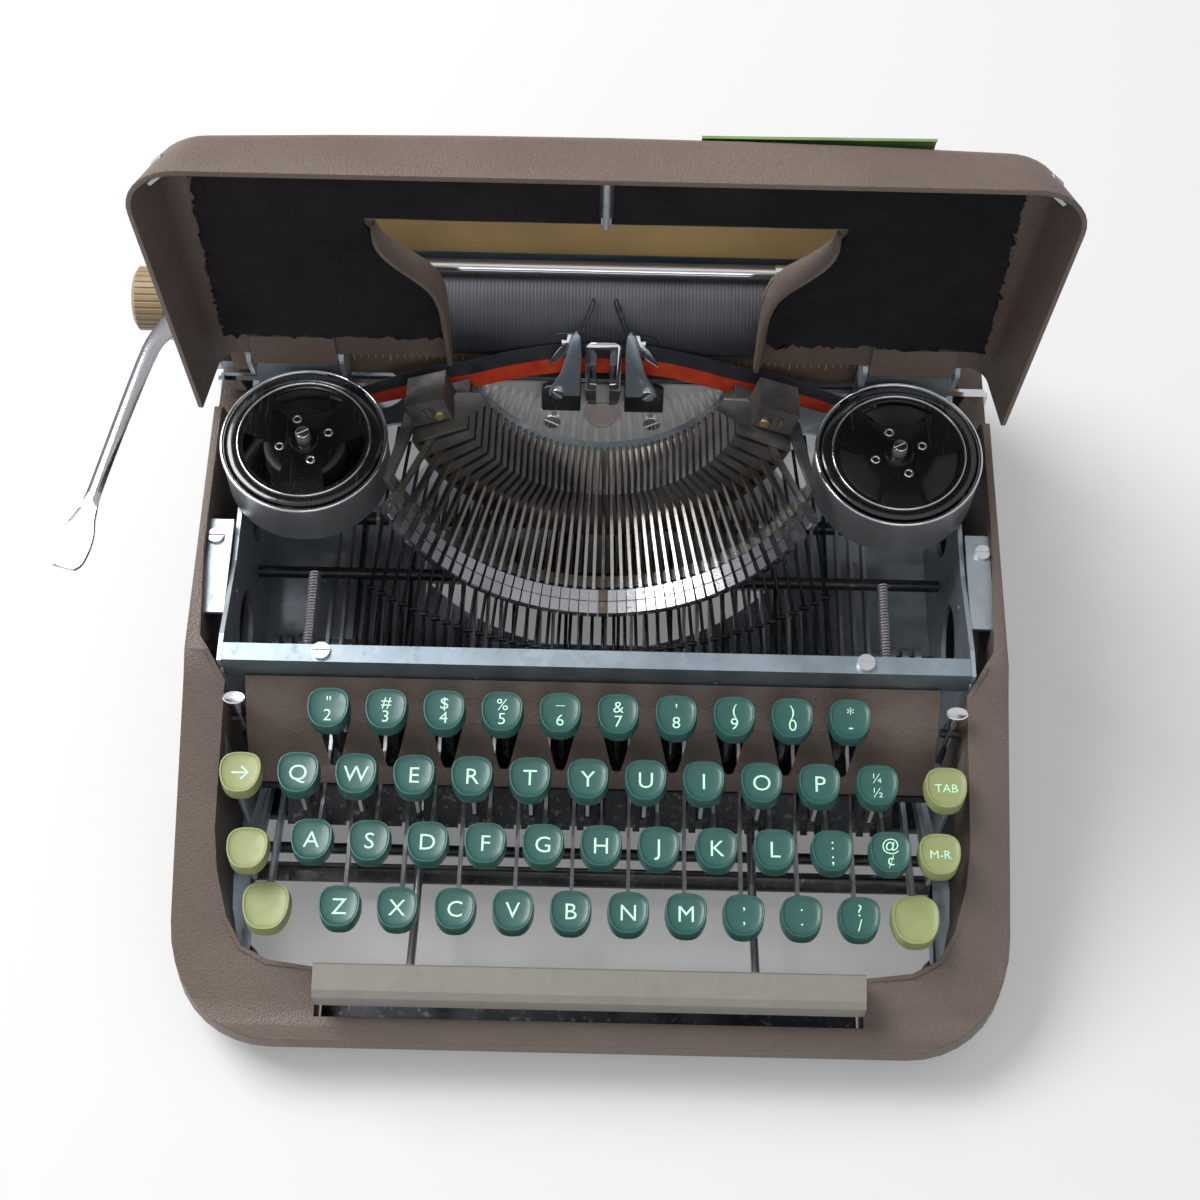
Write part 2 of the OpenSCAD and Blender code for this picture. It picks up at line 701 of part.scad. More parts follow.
module typebar_at_rest(a) {
    rotate([0, 0, a]) translate([0, -pivot_r, pivot_t]) rotate([swing, 0, 0])
        translate([0, pivot_r, -pivot_t]) struck_typebar();
}

module typebars() color(chrome) on_origin() at_print_point() {
    for (i = [0 : bars - 1]) {
        if (i != h_bar) {
            typebar_at_rest(bar_angle(i));
        }
    }
}

module typebar_h() color(chrome) on_origin() at_print_point() {
    typebar_at_rest(bar_angle(h_bar));
}

// The two cheeks that steer a type slug onto the print point
module type_guide() color(chrome) on_origin() at_print_point() both_sides() {
    difference() {
        intersection() {
            side_cut([[-3, 0.6], [-3, 2], [-8, 4], [-24, 4], [-29, 0.6], [-29, -1.95],
                [-22, -1.95], [-22, 0.6]], 2, 5);
            translate([0, 0, -3]) linear_extrude(9) polygon([[2.3, -4.4], [3.4, -3],
                [5.2, -3.6], [6.2, -6], [6.2, -20], [5, -29], [2.3, -29]]);
        }
        translate([3.8, -14, -4]) cube([1.3, 6, 12]);
    }
}

// Outline of a keytop seen from above: broad at the back, narrowing to the front
function keytop_plan(w, l, n) = [for (i = [0 : n - 1]) let (a = 360 * i / n,
    c = cos(a), s = sin(a), widen = 1 + 0.11 * s)
    [w / 2.2 * sign(c) * pow(abs(c), 0.74) * widen,
        l / 2 * sign(s) * pow(abs(s), s > 0 ? 0.78 : 0.94)]];

module keytop(w, l, h) {
    difference() {
        translate([0, 0, -h]) linear_extrude(h) polygon(keytop_plan(w, l, 24));
        translate([0, 0, 44.5]) sphere(r = 45.4, $fn = 64);
    }
}

module key_bank(row, skip) {
    for (i = [0 : row[1] - 1]) {
        if (i != skip) {
            translate([key_x(row, i), row[2], row[3]]) keytop(keytop_w, keytop_l, keytop_h);
        }
    }
}

module key_lever(x, shape) {
    difference() {
        union() {
            side_cut(shape, x - lever_t / 2, lever_t);
            rod(x - lever_t / 2, x + lever_t / 2, fulcrum[0], fulcrum[1], 5);
        }
        rod(x - 2, x + 2, fulcrum[0], fulcrum[1], shaft_r + fit);
    }
}

module lever_bank(row, shape, skip) {
    for (i = [0 : row[1] - 1]) {
        if (i != skip) {
            key_lever(key_x(row, i), shape);
        }
    }
}

module number_row_keys() color(key_green) on_origin() key_bank(row_number, -1);
module q_row_keys() color(key_green) on_origin() key_bank(row_q, -1);
module a_row_keys() color(key_green) on_origin() key_bank(row_a, h_index);
module z_row_keys() color(key_green) on_origin() key_bank(row_z, -1);
module number_row_levers() color(zinc) on_origin() lever_bank(row_number, lever_number, -1);
module q_row_levers() color(zinc) on_origin() lever_bank(row_q, lever_q, -1);
module a_row_levers() color(zinc) on_origin() lever_bank(row_a, lever_a, h_index);
module z_row_levers() color(zinc) on_origin() lever_bank(row_z, lever_z, -1);

module key_h() color(key_green) on_origin() {
    translate([key_x(row_a, h_index), row_a[2], row_a[3]])
        keytop(keytop_w, keytop_l, keytop_h);
    key_lever(key_x(row_a, h_index), lever_a);
}

module space_bar() color([0.55, 0.52, 0.48]) on_origin() {
    bar = [[20.6, 34.6], [20.6, 43.6], [19.8, 44.6], [11.6, 43], [9.4, 41.4], [8.7, 35.6],
        [10.4, 34.4], [11.4, 40.2], [13, 41.4], [18.6, 42.4], [18.6, 34.6]];
    difference() {
        side_cut(bar, -space_w / 2 + 1.2, space_w - 2.4);
        for (x = space_arms) {
            translate([x - 2, 18, 33]) cube([4, 4, 3.6]);
        }
    }
    both_sides() side_cut([[9, 35], [20.4, 35], [20.6, 43.6], [19.8, 44.6], [11.6, 43],
        [9.4, 41.4]], space_w / 2 - 1.2, 1.2);
    for (x = space_arms) {
        side_cut([[11.4, 38], [18.6, 38], [18.6, 42.3], [13, 41.3], [11.4, 40.1]], x - 3, 6);
    }
}

module space_bar_arms() color(zinc) on_origin() {
    for (x = space_arms) {
        strut([x, 97, 17], [x, 46, 24], 1.5);
        strut([x, 46.4, 23.9], [x, 17, 35], 1.5);
        translate([x, 15, 34.8]) cylinder(h = 3.1, r = 2.4);
    }
    difference() {
        rod(-64, 60, space_pivot[0], space_pivot[1], 3.4);
        rod(-66, 62, space_pivot[0], space_pivot[1], 2 + fit);
    }
}

// A flat arm on the side pivot, with the keytop that stands on it
module side_key(x, shape, r_in) {
    difference() {
        union() {
            side_cut(shape, x - 0.9, 1.8);
            rod(x - 0.9, x + 0.9, side_pivot[0], side_pivot[1], r_in + 3);
        }
        rod(x - 3, x + 3, side_pivot[0], side_pivot[1], r_in);
    }
}

shift_arm = [[150, 12.4], [150, 19.6], [96, 25], [41, 42], [40.2, 46.6], [33.8, 46.6],
    [33.8, 38], [94, 20]];
lock_arm = [[150, 12.4], [150, 19.6], [98, 25], [57, 47], [56, 57.6], [49.6, 57.6],
    [49.6, 42], [96, 19]];
margin_arm = [[150, 12.4], [150, 19.6], [98, 25], [60, 47], [59, 57.6], [52.8, 57.6],
    [52.8, 42], [96, 19]];
back_arm = [[150, 12.4], [150, 19.6], [100, 27], [79, 44], [78, 68.6], [71.6, 68.6],
    [71.6, 38], [98, 20]];

module shift_keys() color(key_olive) on_origin() {
    both_sides() {
        translate([107.2, 37, 52]) keytop(shift_w, shift_w, keytop_h);
        side_key(108.6, shift_arm, side_pivot_r + fit);
    }
    difference() {
        rod(-109, 109, side_pivot[0], side_pivot[1], 3.6);
        rod(-111, 111, side_pivot[0], side_pivot[1], side_pivot_r + fit);
    }
}

module shift_lock_key() color(key_olive) on_origin() {
    translate([-113.4, 52.8, 63]) keytop(keytop_w, keytop_l, keytop_h);
    side_key(-113.4, lock_arm, side_pivot_r + fit);
}

module backspace_key() color(key_olive) on_origin() {
    translate([-116.4, 75, 74]) keytop(keytop_w, keytop_l, keytop_h);
    side_key(-118, back_arm, side_pivot_r + fit);
}

module tab_key() color(key_olive) on_origin() {
    translate([116, 75, 74]) keytop(keytop_w, keytop_l, keytop_h);
    side_key(118, back_arm, side_pivot_r + fit);
}

module margin_release_key() color(key_olive) on_origin() {
    translate([114.6, 56, 63]) keytop(keytop_w, keytop_l, keytop_h);
    side_key(113.4, margin_arm, side_pivot_r + fit);
}

// A small lever standing up beside the number plate, on a stud of the side frame
module plate_lever(x) {
    difference() {
        side_cut([[97, 60], [103, 60], [102, 66], [99, 84.6], [94, 84.6], [97, 66]], x, 1.4);
        rod(x - 1, x + 3, 100, 62, 1.5 + fit);
    }
    translate([x - 2, 93.4, 84.5]) cube([5.4, 6, 1.2]);
}

module ribbon_colour_lever() color(chrome) on_origin() plate_lever(118.2);
module touch_lever() color(chrome) on_origin() plate_lever(-119.6);

module spool(side) {
    translate([side * spool_x, spool_y, cup_z + 3]) difference() {
        union() {
            rotate_extrude($fn = 72) polygon([[2.56, 0], [spool_r, 0], [spool_r, 0.9],
                [8, 0.9], [8, 15], [spool_r - 4, 15], [spool_r - 3.4, 15.5],
                [spool_r - 0.8, 15.5], [spool_r, 15], [spool_r, 16], [spool_r - 3.8, 16.2],
                [2.56, 16.2]]);
            difference() {
                translate([0, 0, 1.1]) cylinder(h = 13.7, r = side < 0 ? 14 : 21, $fn = 72);
                translate([0, 0, 1]) cylinder(h = 14, r = 8);
            }
        }
        for (a = [90, 210, 330]) {
            rotate([0, 0, a]) spool_window();
        }
        for (a = [0 : 90 : 270]) {
            rotate([0, 0, a + 20]) translate([6.2, 0, 14]) cylinder(h = 4, r = 1);
        }
    }
}

// One of the three curved windows through a spool's top flange
module spool_window() {
    translate([0, 0, 14.9]) linear_extrude(3) polygon(concat(
        arc_points(0, 0, 20.6, -38, 38, 12), arc_points(0, 0, 11.5, 26, -26, 8)));
}

module left_spool() color(black) on_origin() spool(-1);
module right_spool() color(black) on_origin() spool(1);

module ribbon_vibrator() color(chrome) on_origin() at_print_point() {
    both_sides() difference() {
        side_cut([[0.8, 0.9], [0.8, 1.7], [-17.4, 1.7], [-19.6, 0.5], [-19.6, -1.1],
            [-17.4, -1.1], [-16.4, 0.2], [-16.4, 0.9]], 8.6, 3.2);
        translate([9.7, -13.3, -3]) cube([1, 11, 6]);
    }
    side_cut([[-17.6, -0.8], [-17.6, 0], [-19.2, 0], [-19.2, -0.8]], -9, 18);
    side_cut([[-17.9, -0.1], [-18.7, -0.1], [-21.76, -4.1], [-44, -4.1], [-44, -5.1],
        [-21.24, -5.1], [-18.2, -0.6], [-17.9, -0.6]], -5, 10);
}

// The cover's frame: closed, its top lies flat; raised, it turns back about the hinge
module raised() {
    translate([0, hinge_y, hinge_z]) rotate([-cover_open, 0, 0]) children();
}

function cover_plan(level, t, back) =
    let (r = max(level[4] - t, 2), front = level[3] - t,
        flare = (level[2] - level[1]) / level[3])
    concat([[-level[1] + t, -back]],
        arc_points(-level[2] + t + r, -front + r, r, 180, 270, 8),
        arc_points(level[2] - t - r, -front + r, r, 270, 360, 8),
        [[level[1] - t, -back]]);

module cover_stack(t, back) {
    for (i = [0 : len(cover_levels) - 2]) {
        hull() {
            cover_slab(cover_levels[i], t, back, i == 0 ? t : 0);
            cover_slab(cover_levels[i + 1], t, back, i == len(cover_levels) - 2 && t > 0 ? 2 : 0);
        }
    }
}

module cover_slab(level, t, back, lower) {
    translate([0, 0, -level[0] - lower]) linear_extrude(0.01)
        polygon(cover_plan(level, t, back));
}

function cut_plan(grow) = let (half = [for (p = cut_edge) [p[0] + grow, -p[1]]])
    concat(half, [[cut_edge[7][0] + grow, -cut_edge[7][1] - grow],
        [-cut_edge[7][0] - grow, -cut_edge[7][1] - grow]],
        [for (i = [len(half) - 1 : -1 : 0]) [-half[i][0], half[i][1]]]);

module ribbon_cover() color(taupe) on_origin() raised() {
    difference() {
        cover_stack(0, cover_back);
        cover_stack(cover_t, cover_back - 3);
        translate([0, 0, -12]) linear_extrude(20) polygon(cut_plan(0));
    }
    intersection() {
        translate([0, 0, -17]) linear_extrude(16) difference() {
            polygon(cut_plan(1.4));
            polygon(cut_plan(0));
        }
        side_cut([[-cover_back, 0], [-cover_back, -8.4], [-12, -8], [-36, -6.4],
            [-58, -5.6], [-80, -5.4], [-80, 0]], -90, 180);
    }
}

module cover_felt() color(black) on_origin() raised() {
    difference() {
        translate([0, 0, -3.6]) linear_extrude(1.8) polygon([[-119, -14], [-125, -97.6],
            [125, -97.6], [119, -14]]);
        translate([0, 0, -8]) linear_extrude(10) polygon(cut_plan(3));
        translate([-2, -78, -8]) cube([4, 6, 10]);
    }
}

module cover_fittings() color(zinc) on_origin() raised() {
    both_sides() {
        difference() {
            union() {
                rod(90.2, 118.8, 0, 0, 2.7);
                side_cut([[0, -2.7], [-13, -2.9], [-13, -1.65], [-3.4, -1.65],
                    [-3.2, 0.6], [0, 2]], 90.2, 28.6);
            }
            rod(89, 120, 0, 0, 1.56);
        }
        translate([132, -105.9, -21]) rotate([0, 0, 45]) cube([5, 1.2, 9]);
    }
    translate([0, -73, -6.5]) rotate([90, 0, 0]) cylinder(h = 32, r = 1.2);
    for (y = [-77, -101]) {
        translate([-1.6, y, -6.6]) cube([3.2, 3, 4.98]);
    }
}

module carriage_frame() color(zinc) on_origin() translate([carriage_x, 0, 0]) {
    plate = concat([[225.4, 86], [262, 86], [266, 98], [264, 104], [258, 106], [258, 138],
        [252, 140], [246, 133]], arc_points(platen_y, platen_z, 11, 45, 200, 8),
        [[223.2, 100]]);
    both_sides() difference() {
        side_cut(plate, end_x, 2.5);
        rod(end_x - 1, end_x + 4, platen_y, platen_z, axle_r + fit);
        rod(end_x - 1, end_x + 4, feed_y, feed_z, 1.5 + fit);
        rod(end_x - 1, end_x + 4, 262, 100, 2);
    }
    side_cut([[225.4, 86], [262, 86], [262, 88.4], [227.6, 88.4], [227.6, 91],
        [225.4, 91]], -end_x, 2 * end_x);
    side_cut([[257, 80], [259.6, 80], [259.6, 85.9], [257, 85.9]], -end_x + 2, 2 * end_x - 4);
    rod(-end_x - 2.4, end_x + 2.4, 262, 100, 2);
    both_sides() rod(end_x - 1.8, end_x + 0.1, bail_y, bail_z, 1.4);
    translate([-end_x - 13.4, 218.4, 113.4]) cube([11, 9.6, 3.4]);
    translate([lever_x, lever_y, 116.7]) cylinder(h = 9.4, r = 2);
    rod(end_x + 2.4, end_x + 6, 250, 118, 1.4);
}

feed_r = 5;
feed_y = platen_y + 7;
feed_z = platen_z - sqrt(pow(platen_r + feed_r + 0.2, 2) - 49);
bail_y = 252;
bail_z = 121;
lever_x = -end_x - 8.9;
lever_y = 222.8;

module platen() color(black) on_origin() translate([carriage_x, 0, 0]) {
    difference() {
        rod(-platen_len / 2, platen_len / 2, platen_y, platen_z, platen_r);
        rod(-platen_len / 2 - 1, platen_len / 2 + 1, platen_y, platen_z, axle_r - 1);
    }
}

module platen_knobs() color(bakelite) on_origin() translate([carriage_x, 0, 0]) {
    rod(-platen_len / 2 - 17, -platen_len / 2 - 0.1, platen_y, platen_z, axle_r);
    rod(platen_len / 2 + 0.1, platen_len / 2 + 13, platen_y, platen_z, axle_r);
    knob(-platen_len / 2 - 28.5, 12);
    knob(platen_len / 2 + 12.5, 12);
}

module knob(x, length) {
    difference() {
        translate([x, platen_y, platen_z]) rotate([0, 90, 0]) rotate_extrude()
            polygon([[0, 0], [knob_r - 2, 0], [knob_r, 1.4], [knob_r, length - 1.4],
                [knob_r - 1.4, length], [0, length]]);
        for (a = [0 : 12 : 348]) {
            rod(x - 1, x + length + 1, platen_y + (knob_r + 0.1) * cos(a),
                platen_z + (knob_r + 0.1) * sin(a), 0.5);
        }
    }
}

module feed_rollers() color(black) on_origin() translate([carriage_x, 0, 0]) {
    rod(-end_x - 2, end_x + 2, feed_y, feed_z, 1.5);
    for (x = [-90, -35, 35, 90]) {
        rod(x - 14, x + 14, feed_y, feed_z, feed_r);
    }
}

module paper_table() color([0.59, 0.47, 0.26]) on_origin() translate([carriage_x, 0, 0]) {
    side_cut([[248.4, 127.2], [249.6, 126.8], [257.2, 153.2], [256.6, 154.2],
        [255.8, 153.6]], -112, 224);
    both_sides() side_cut([[249.8, 128], [256, 134], [257, 146], [254, 143]], 110.6, 1.2);
    both_sides() side_cut([[253.4, 130.6], [254.8, 130.2], [257.4, 139], [256, 139.4]],
        111.8, 10.1);
}

module paper_bail() color(chrome) on_origin() translate([carriage_x, 0, 0]) {
    rod(-121.6, 121.6, 236, 135, 1.8);
    both_sides() {
        difference() {
            side_cut(concat(arc_points(236, 135, 2.6, 45, 225, 8),
                arc_points(bail_y, bail_z, 3.4, 225, 405, 8)), 120.3, 1.3);
            rod(119, 122, bail_y, bail_z, 1.4 + fit);
        }
    }
    for (x = [-78, 78]) {
        rod(x - 7, x + 7, 236, 135, 3);
    }
}

module paper_release_lever() color(chrome) on_origin() translate([carriage_x, 0, 0]) {
    difference() {
        side_cut(concat(arc_points(250, 118, 3.6, 200, 340, 8), [[252, 128], [247, 143],
            [243.4, 142.4], [247, 127]]), end_x + 3.2, 1.5);
        rod(end_x, end_x + 8, 250, 118, 1.4 + fit);
    }
    translate([end_x + 3.2, 242.6, 141.4]) cube([5, 5, 1.8]);
}

// Plan of the return lever from its hub to the finger paddle, as X, Y and radius
lever_spine = [[0, 0, 4.6], [-7.6, -12, 3.2], [-21.6, -77, 3], [-25.6, -92, 6.4]];

module return_lever() color(chrome) on_origin() translate([carriage_x, 0, 0]) {
    difference() {
        translate([lever_x, lever_y, 117.2]) cylinder(h = 8, r = 4.6);
        translate([lever_x, lever_y, 116]) cylinder(h = 12, r = 2 + fit);
    }
    difference() {
        translate([lever_x, lever_y, 121.6]) for (i = [0 : 2]) {
            hull() {
                spine_disc(lever_spine[i]);
                spine_disc(lever_spine[i + 1]);
            }
        }
        translate([lever_x, lever_y, 116]) cylinder(h = 12, r = 3.6);
    }
}

module spine_disc(p) {
    translate([p[0], p[1], 0]) cylinder(h = 2.6, r = p[2], $fn = 32);
}

module scale_plate() color([0.43, 0.35, 0.27]) on_origin() translate([carriage_x, 0, 0]) {
    side_cut([[222.2, 103.2], [223.2, 102.9], [222.6, 92.2], [221.6, 92.2]], -117, 234);
    both_sides() side_cut([[222.8, 99], [226.6, 99], [226.6, 91.1], [225.4, 91.1],
        [225.4, 97.8], [222.8, 97.8]], 108, 5);
}

module margin_stop(x) {
    translate([carriage_x + x, 0, 0]) difference() {
        union() {
            side_cut([[257.6, 96.2], [266.4, 96.2], [266.4, 103.8], [257.6, 103.8]], -4, 8);
            side_cut([[264, 103.7], [266.4, 103.7], [268.4, 112], [266.8, 112]], -4, 8);
        }
        rod(-6, 6, 262, 100, 2 + fit);
    }
}

module left_margin_stop() color(chrome) on_origin() margin_stop(-70);
module right_margin_stop() color(chrome) on_origin() margin_stop(70);

body_shell();
side_frames();
front_cross_bar();
base_pan();
chassis_screws();
rubber_feet();
shell_brackets();
number_plate();
key_comb();
cross_shafts();
spool_cups();
card_holders();
carriage_rail();
bell();
ribbon();
shift_springs();
sublevers();
typebar_links();
mainspring_drum();
escapement_wheel();
segment();
segment_plate();
typebars();
type_guide();
typebar_h();
number_row_keys();
number_row_levers();
q_row_keys();
q_row_levers();
a_row_keys();
a_row_levers();
z_row_keys();
z_row_levers();
key_h();
space_bar();
space_bar_arms();
shift_keys();
shift_lock_key();
backspace_key();
tab_key();
margin_release_key();
ribbon_colour_lever();
touch_lever();
left_spool();
right_spool();
ribbon_vibrator();
ribbon_cover();
cover_felt();
cover_fittings();
carriage_frame();
platen();
platen_knobs();
feed_rollers();
paper_table();
paper_bail();
paper_release_lever();
return_lever();
scale_plate();
left_margin_stop();
right_margin_stop();
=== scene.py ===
"""Looks of a portable manual typewriter that stands with its ribbon cover raised."""
import bmesh
import bpy
from math import copysign, cos, pi, radians, sin
from mathutils import Matrix, Vector


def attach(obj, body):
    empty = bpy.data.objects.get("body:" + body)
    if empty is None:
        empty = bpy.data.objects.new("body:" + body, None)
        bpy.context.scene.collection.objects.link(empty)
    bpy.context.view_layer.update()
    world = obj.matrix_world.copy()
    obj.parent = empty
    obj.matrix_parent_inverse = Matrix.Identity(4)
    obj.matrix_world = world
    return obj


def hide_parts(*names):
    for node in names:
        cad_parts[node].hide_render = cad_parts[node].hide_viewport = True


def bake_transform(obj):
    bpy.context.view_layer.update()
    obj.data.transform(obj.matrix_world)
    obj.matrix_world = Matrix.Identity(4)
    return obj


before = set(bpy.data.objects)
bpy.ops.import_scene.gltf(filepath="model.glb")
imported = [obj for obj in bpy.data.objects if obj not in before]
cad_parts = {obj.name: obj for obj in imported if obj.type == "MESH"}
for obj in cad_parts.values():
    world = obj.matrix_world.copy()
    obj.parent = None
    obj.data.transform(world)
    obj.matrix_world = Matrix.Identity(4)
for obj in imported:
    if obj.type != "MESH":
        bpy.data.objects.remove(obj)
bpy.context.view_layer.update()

# The part's drawing is laid out in millimetres from the machine's middle line and front edge.
MM = 0.001
MIDDLE_X, MIDDLE_Y = -16.45, 143.0
CARRIAGE_X = -13.5
SIDES = ((-1, "left"), (1, "right"))

# The printing point, and how far the paper leans back there
PRINT_Y, PRINT_Z = 218, 120
PAPER_LEAN = radians(15)
LEAN_S, LEAN_C = sin(PAPER_LEAN), cos(PAPER_LEAN)


def at(x, y, z):
    return Vector(((x - MIDDLE_X) * MM, (y - MIDDLE_Y) * MM, z * MM))


def drawn(point):
    """A mesh point in the drawing's millimetres."""
    return (point[0] / MM + MIDDLE_X, point[1] / MM + MIDDLE_Y, point[2] / MM)


def struck(x, y, z):
    """A place seen from the printing point: across, up the paper, towards the typist."""
    return at(x, PRINT_Y + y * LEAN_S - z * LEAN_C, PRINT_Z + y * LEAN_C + z * LEAN_S)


# ---- materials


def math_node(operation, reflected=False):
    """An operator that adds one Math node; the reflected one has its reading on the right."""
    def add_node(reading, other):
        terms = (other, reading) if reflected else (reading, other)
        return reading.nodes.node("Math", "Value", dict(enumerate(terms)), operation=operation)
    return add_node


class Reading:
    """What a node gives. Sums written on it add Math nodes."""

    def __init__(self, nodes, socket):
        self.nodes, self.socket = nodes, socket

    __add__ = __radd__ = math_node("ADD")
    __sub__, __rsub__ = math_node("SUBTRACT"), math_node("SUBTRACT", True)
    __mul__ = __rmul__ = math_node("MULTIPLY")


class Nodes:
    """A node tree that grows by one node at a time."""

    def __init__(self, tree):
        self.tree = tree

    def node(self, kind, output, sockets=None, stops=(), **settings):
        """Adds a node with its settings, a ramp's stops and its sockets; gives one output."""
        made = self.tree.nodes.new("ShaderNode" + kind)
        for name, value in settings.items():
            setattr(made, name, value)
        if stops:
            ramp = made.color_ramp.elements
            while len(ramp) < len(stops):
                ramp.new(0.5)
            for stop, (where, shade) in zip(ramp, stops):
                stop.position, stop.color = where, (*shade, 1)
        for name, value in (sockets or {}).items():
            self.plug(made.inputs[name], value)
        return Reading(self, made.outputs[output])

    def plug(self, entry, value):
        if isinstance(value, Reading):
            self.tree.links.new(value.socket, entry)
        elif isinstance(value, tuple) and len(value) == 3 and entry.type == "RGBA":
            entry.default_value = (*value, 1)
        else:
            entry.default_value = value

    def mix(self, share, first, second):
        return self.node("Mix", 2, {0: share, 6: first, 7: second}, data_type="RGBA")


class Finish(Nodes):
    """One material, built round a Principled shader whose constants are set on its sockets."""

    def __init__(self, name, **constants):
        self.material = bpy.data.materials.new(name)
        self.material.use_nodes = True
        super().__init__(self.material.node_tree)
        self.skin = self.tree.nodes["Principled BSDF"]
        for socket, value in constants.items():
            self.skin.inputs[socket.replace("_", " ")].default_value = value
        self.place = self.node("TexCoord", "Object")

    def spots(self, scale, detail=2.0, rough=0.5, **more):
        """Soft noise with features of 1 / scale metres."""
        return self.node("TexNoise", "Fac", {
            "Vector": self.place, "Scale": scale, "Detail": detail, "Roughness": rough, **more})

    def streaks(self, scale, detail, rough):
        """Noise with features of 1 / scale metres along X, Y and Z."""
        return self.spots(1.0, detail, rough, Vector=self.node(
            "Mapping", "Vector", {"Vector": self.place, "Scale": scale}))

    def cells(self, scale, output="Distance", feature="F1", **more):
        return self.node("TexVoronoi", output, {
            "Vector": self.place, "Scale": scale, **more}, feature=feature)

    def wave(self, reading):
        return self.node("Math", "Value", {0: reading}, operation="SINE")

    def band(self, reading, low, high, to_low=0.0, to_high=1.0):
        """The reading carried from low..high to other limits, and held there."""
        return self.node("MapRange", "Result", {
            "Value": reading, "From Min": low, "From Max": high,
            "To Min": to_low, "To Max": to_high}, clamp=True)

    def spread(self, noise, to_low=0.0, to_high=1.0):
        """The span that a noise mostly keeps to, carried to other limits."""
        return self.band(noise, 0.3, 0.7, to_low, to_high)

    def colour(self, value):
        self.plug(self.skin.inputs["Base Color"], value)

    def rough(self, value):
        self.plug(self.skin.inputs["Roughness"], value)

    def metal(self, value):
        self.plug(self.skin.inputs["Metallic"], value)

    def relief(self, height, depth, strength=1.0):
        self.plug(self.skin.inputs["Normal"], self.node("Bump", "Normal", {
            "Height": height, "Distance": depth, "Strength": strength}))


def tinted(shade, share, plus=0.0):
    """The shade made darker or lighter, but never past white."""
    return tuple(min(1, c * share + plus) for c in shade)


def crackle_paint(name, shade, sheen=0.42):
    """Stoved wrinkle paint: pebbles under a millimetre across, with satin tops."""
    f = Finish(name, Specular_IOR_Level=0.5)
    pebbles = f.cells(1500, feature="SMOOTH_F1", Smoothness=0.6)
    grain = f.spots(2600, 3)
    patches = f.spots(28, 3)
    dust = f.band(f.spots(420, 4, 0.7), 0.62, 0.75)
    tone = f.mix(f.spread(patches), tinted(shade, 0.88), tinted(shade, 1.1))
    # Darker in the creases between the pebbles: painted shade.
    tone = f.mix(f.band(pebbles, 0.2, 0.65) * 0.35, tone, tinted(shade, 0.5))
    f.colour(f.mix(dust * 0.2, tone, tinted(shade, 1.7)))
    f.rough(f.spread(grain, sheen - 0.06, sheen + 0.12))
    f.relief((1 - pebbles) * 0.8 + grain * 0.3, 0.00035, 0.6)
    return f.material


def plated(name, shade, polish, scratch=0.05, dirt=0.15, stain=(0.16, 0.13, 0.10), bare=1.0):
    """Bright plate with long fine scratches, a slow cloudiness and a little brown in places."""
    f = Finish(name)
    lines = f.streaks((40, 1600, 1600), 3, 0.6)
    cloud = f.spots(60, 4)
    specks = f.band(f.spots(700, 3, 0.6), 0.60, 0.72)
    f.colour(f.mix(specks * dirt + f.band(cloud, 0.45, 0.8) * dirt * 0.6, shade, stain))
    f.rough(f.band(cloud, 0.3, 0.75, polish * 0.8, polish * 1.5) + lines * scratch)
    f.metal(bare - specks * dirt * 1.6)
    f.relief(lines + cloud * 0.4, 0.00004, 0.35)
    return f.material


def zinc_plate(name, shade):
    """Zinc or cadmium plate, pale and bluish, with a faint spangle and stains."""
    f = Finish(name)
    flakes = f.node("SeparateColor", "Red", {"Color": f.cells(190, "Color")})
    cloud = f.spots(45, 5, 0.6)
    stains = f.band(f.spots(130, 5, 0.7), 0.56, 0.72)
    tone = f.mix(flakes * 0.5, shade, tinted(shade, 0.72))
    tone = f.mix(f.band(cloud, 0.35, 0.7) * 0.3, tone, (0.50, 0.56, 0.62))
    f.colour(f.mix(stains * 0.45, tone, (0.17, 0.15, 0.12)))
    f.rough(f.spread(cloud, 0.32, 0.5) + stains * 0.15)
    f.metal(0.82 - stains * 0.3)
    f.relief(cloud + flakes * 0.3, 0.00012, 0.3)
    return f.material


def oxide(name, shade, polish=0.3, worn=(0.30, 0.30, 0.31)):
    """Black or blued steel: oily, with the oxide rubbed thin here and there."""
    f = Finish(name)
    cloud = f.spots(90, 4)
    rubbed = f.band(f.spots(380, 4, 0.65), 0.56, 0.74)
    lint = f.band(f.spots(1500, 2), 0.66, 0.74)
    tone = f.mix(f.spread(cloud), shade, tinted(shade, 1.8, 0.01))
    tone = f.mix(rubbed * 0.5, tone, worn)
    f.colour(f.mix(lint * 0.25, tone, (0.32, 0.29, 0.24)))
    f.rough(f.spread(cloud, polish, polish + 0.2) + lint * 0.2)
    f.metal(f.band(rubbed, 0, 1, 0.75, 1))
    f.relief(cloud + lint * 0.3, 0.00005, 0.3)
    return f.material


def enamel(name, shade, polish=0.14):
    """Gloss enamel with a slight orange peel, dust and hair scratches."""
    f = Finish(name, Coat_Roughness=0.06, Coat_Weight=0.6)
    peel = f.spots(330, 2)
    dust = f.band(f.spots(1900, 3, 0.7), 0.62, 0.72)
    hairs = f.band(f.streaks((900, 60, 900), 2, 0.5), 0.62, 0.72)
    tone = f.mix(f.spread(f.spots(40)), shade, tinted(shade, 1.5, 0.004))
    f.colour(f.mix(dust * 0.16 + hairs * 0.06, tone, (0.35, 0.33, 0.30)))
    f.rough(f.spread(peel, polish, polish + 0.1) + dust * 0.3 + hairs * 0.12)
    f.relief(peel + dust * 0.2, 0.00005, 0.35)
    return f.material


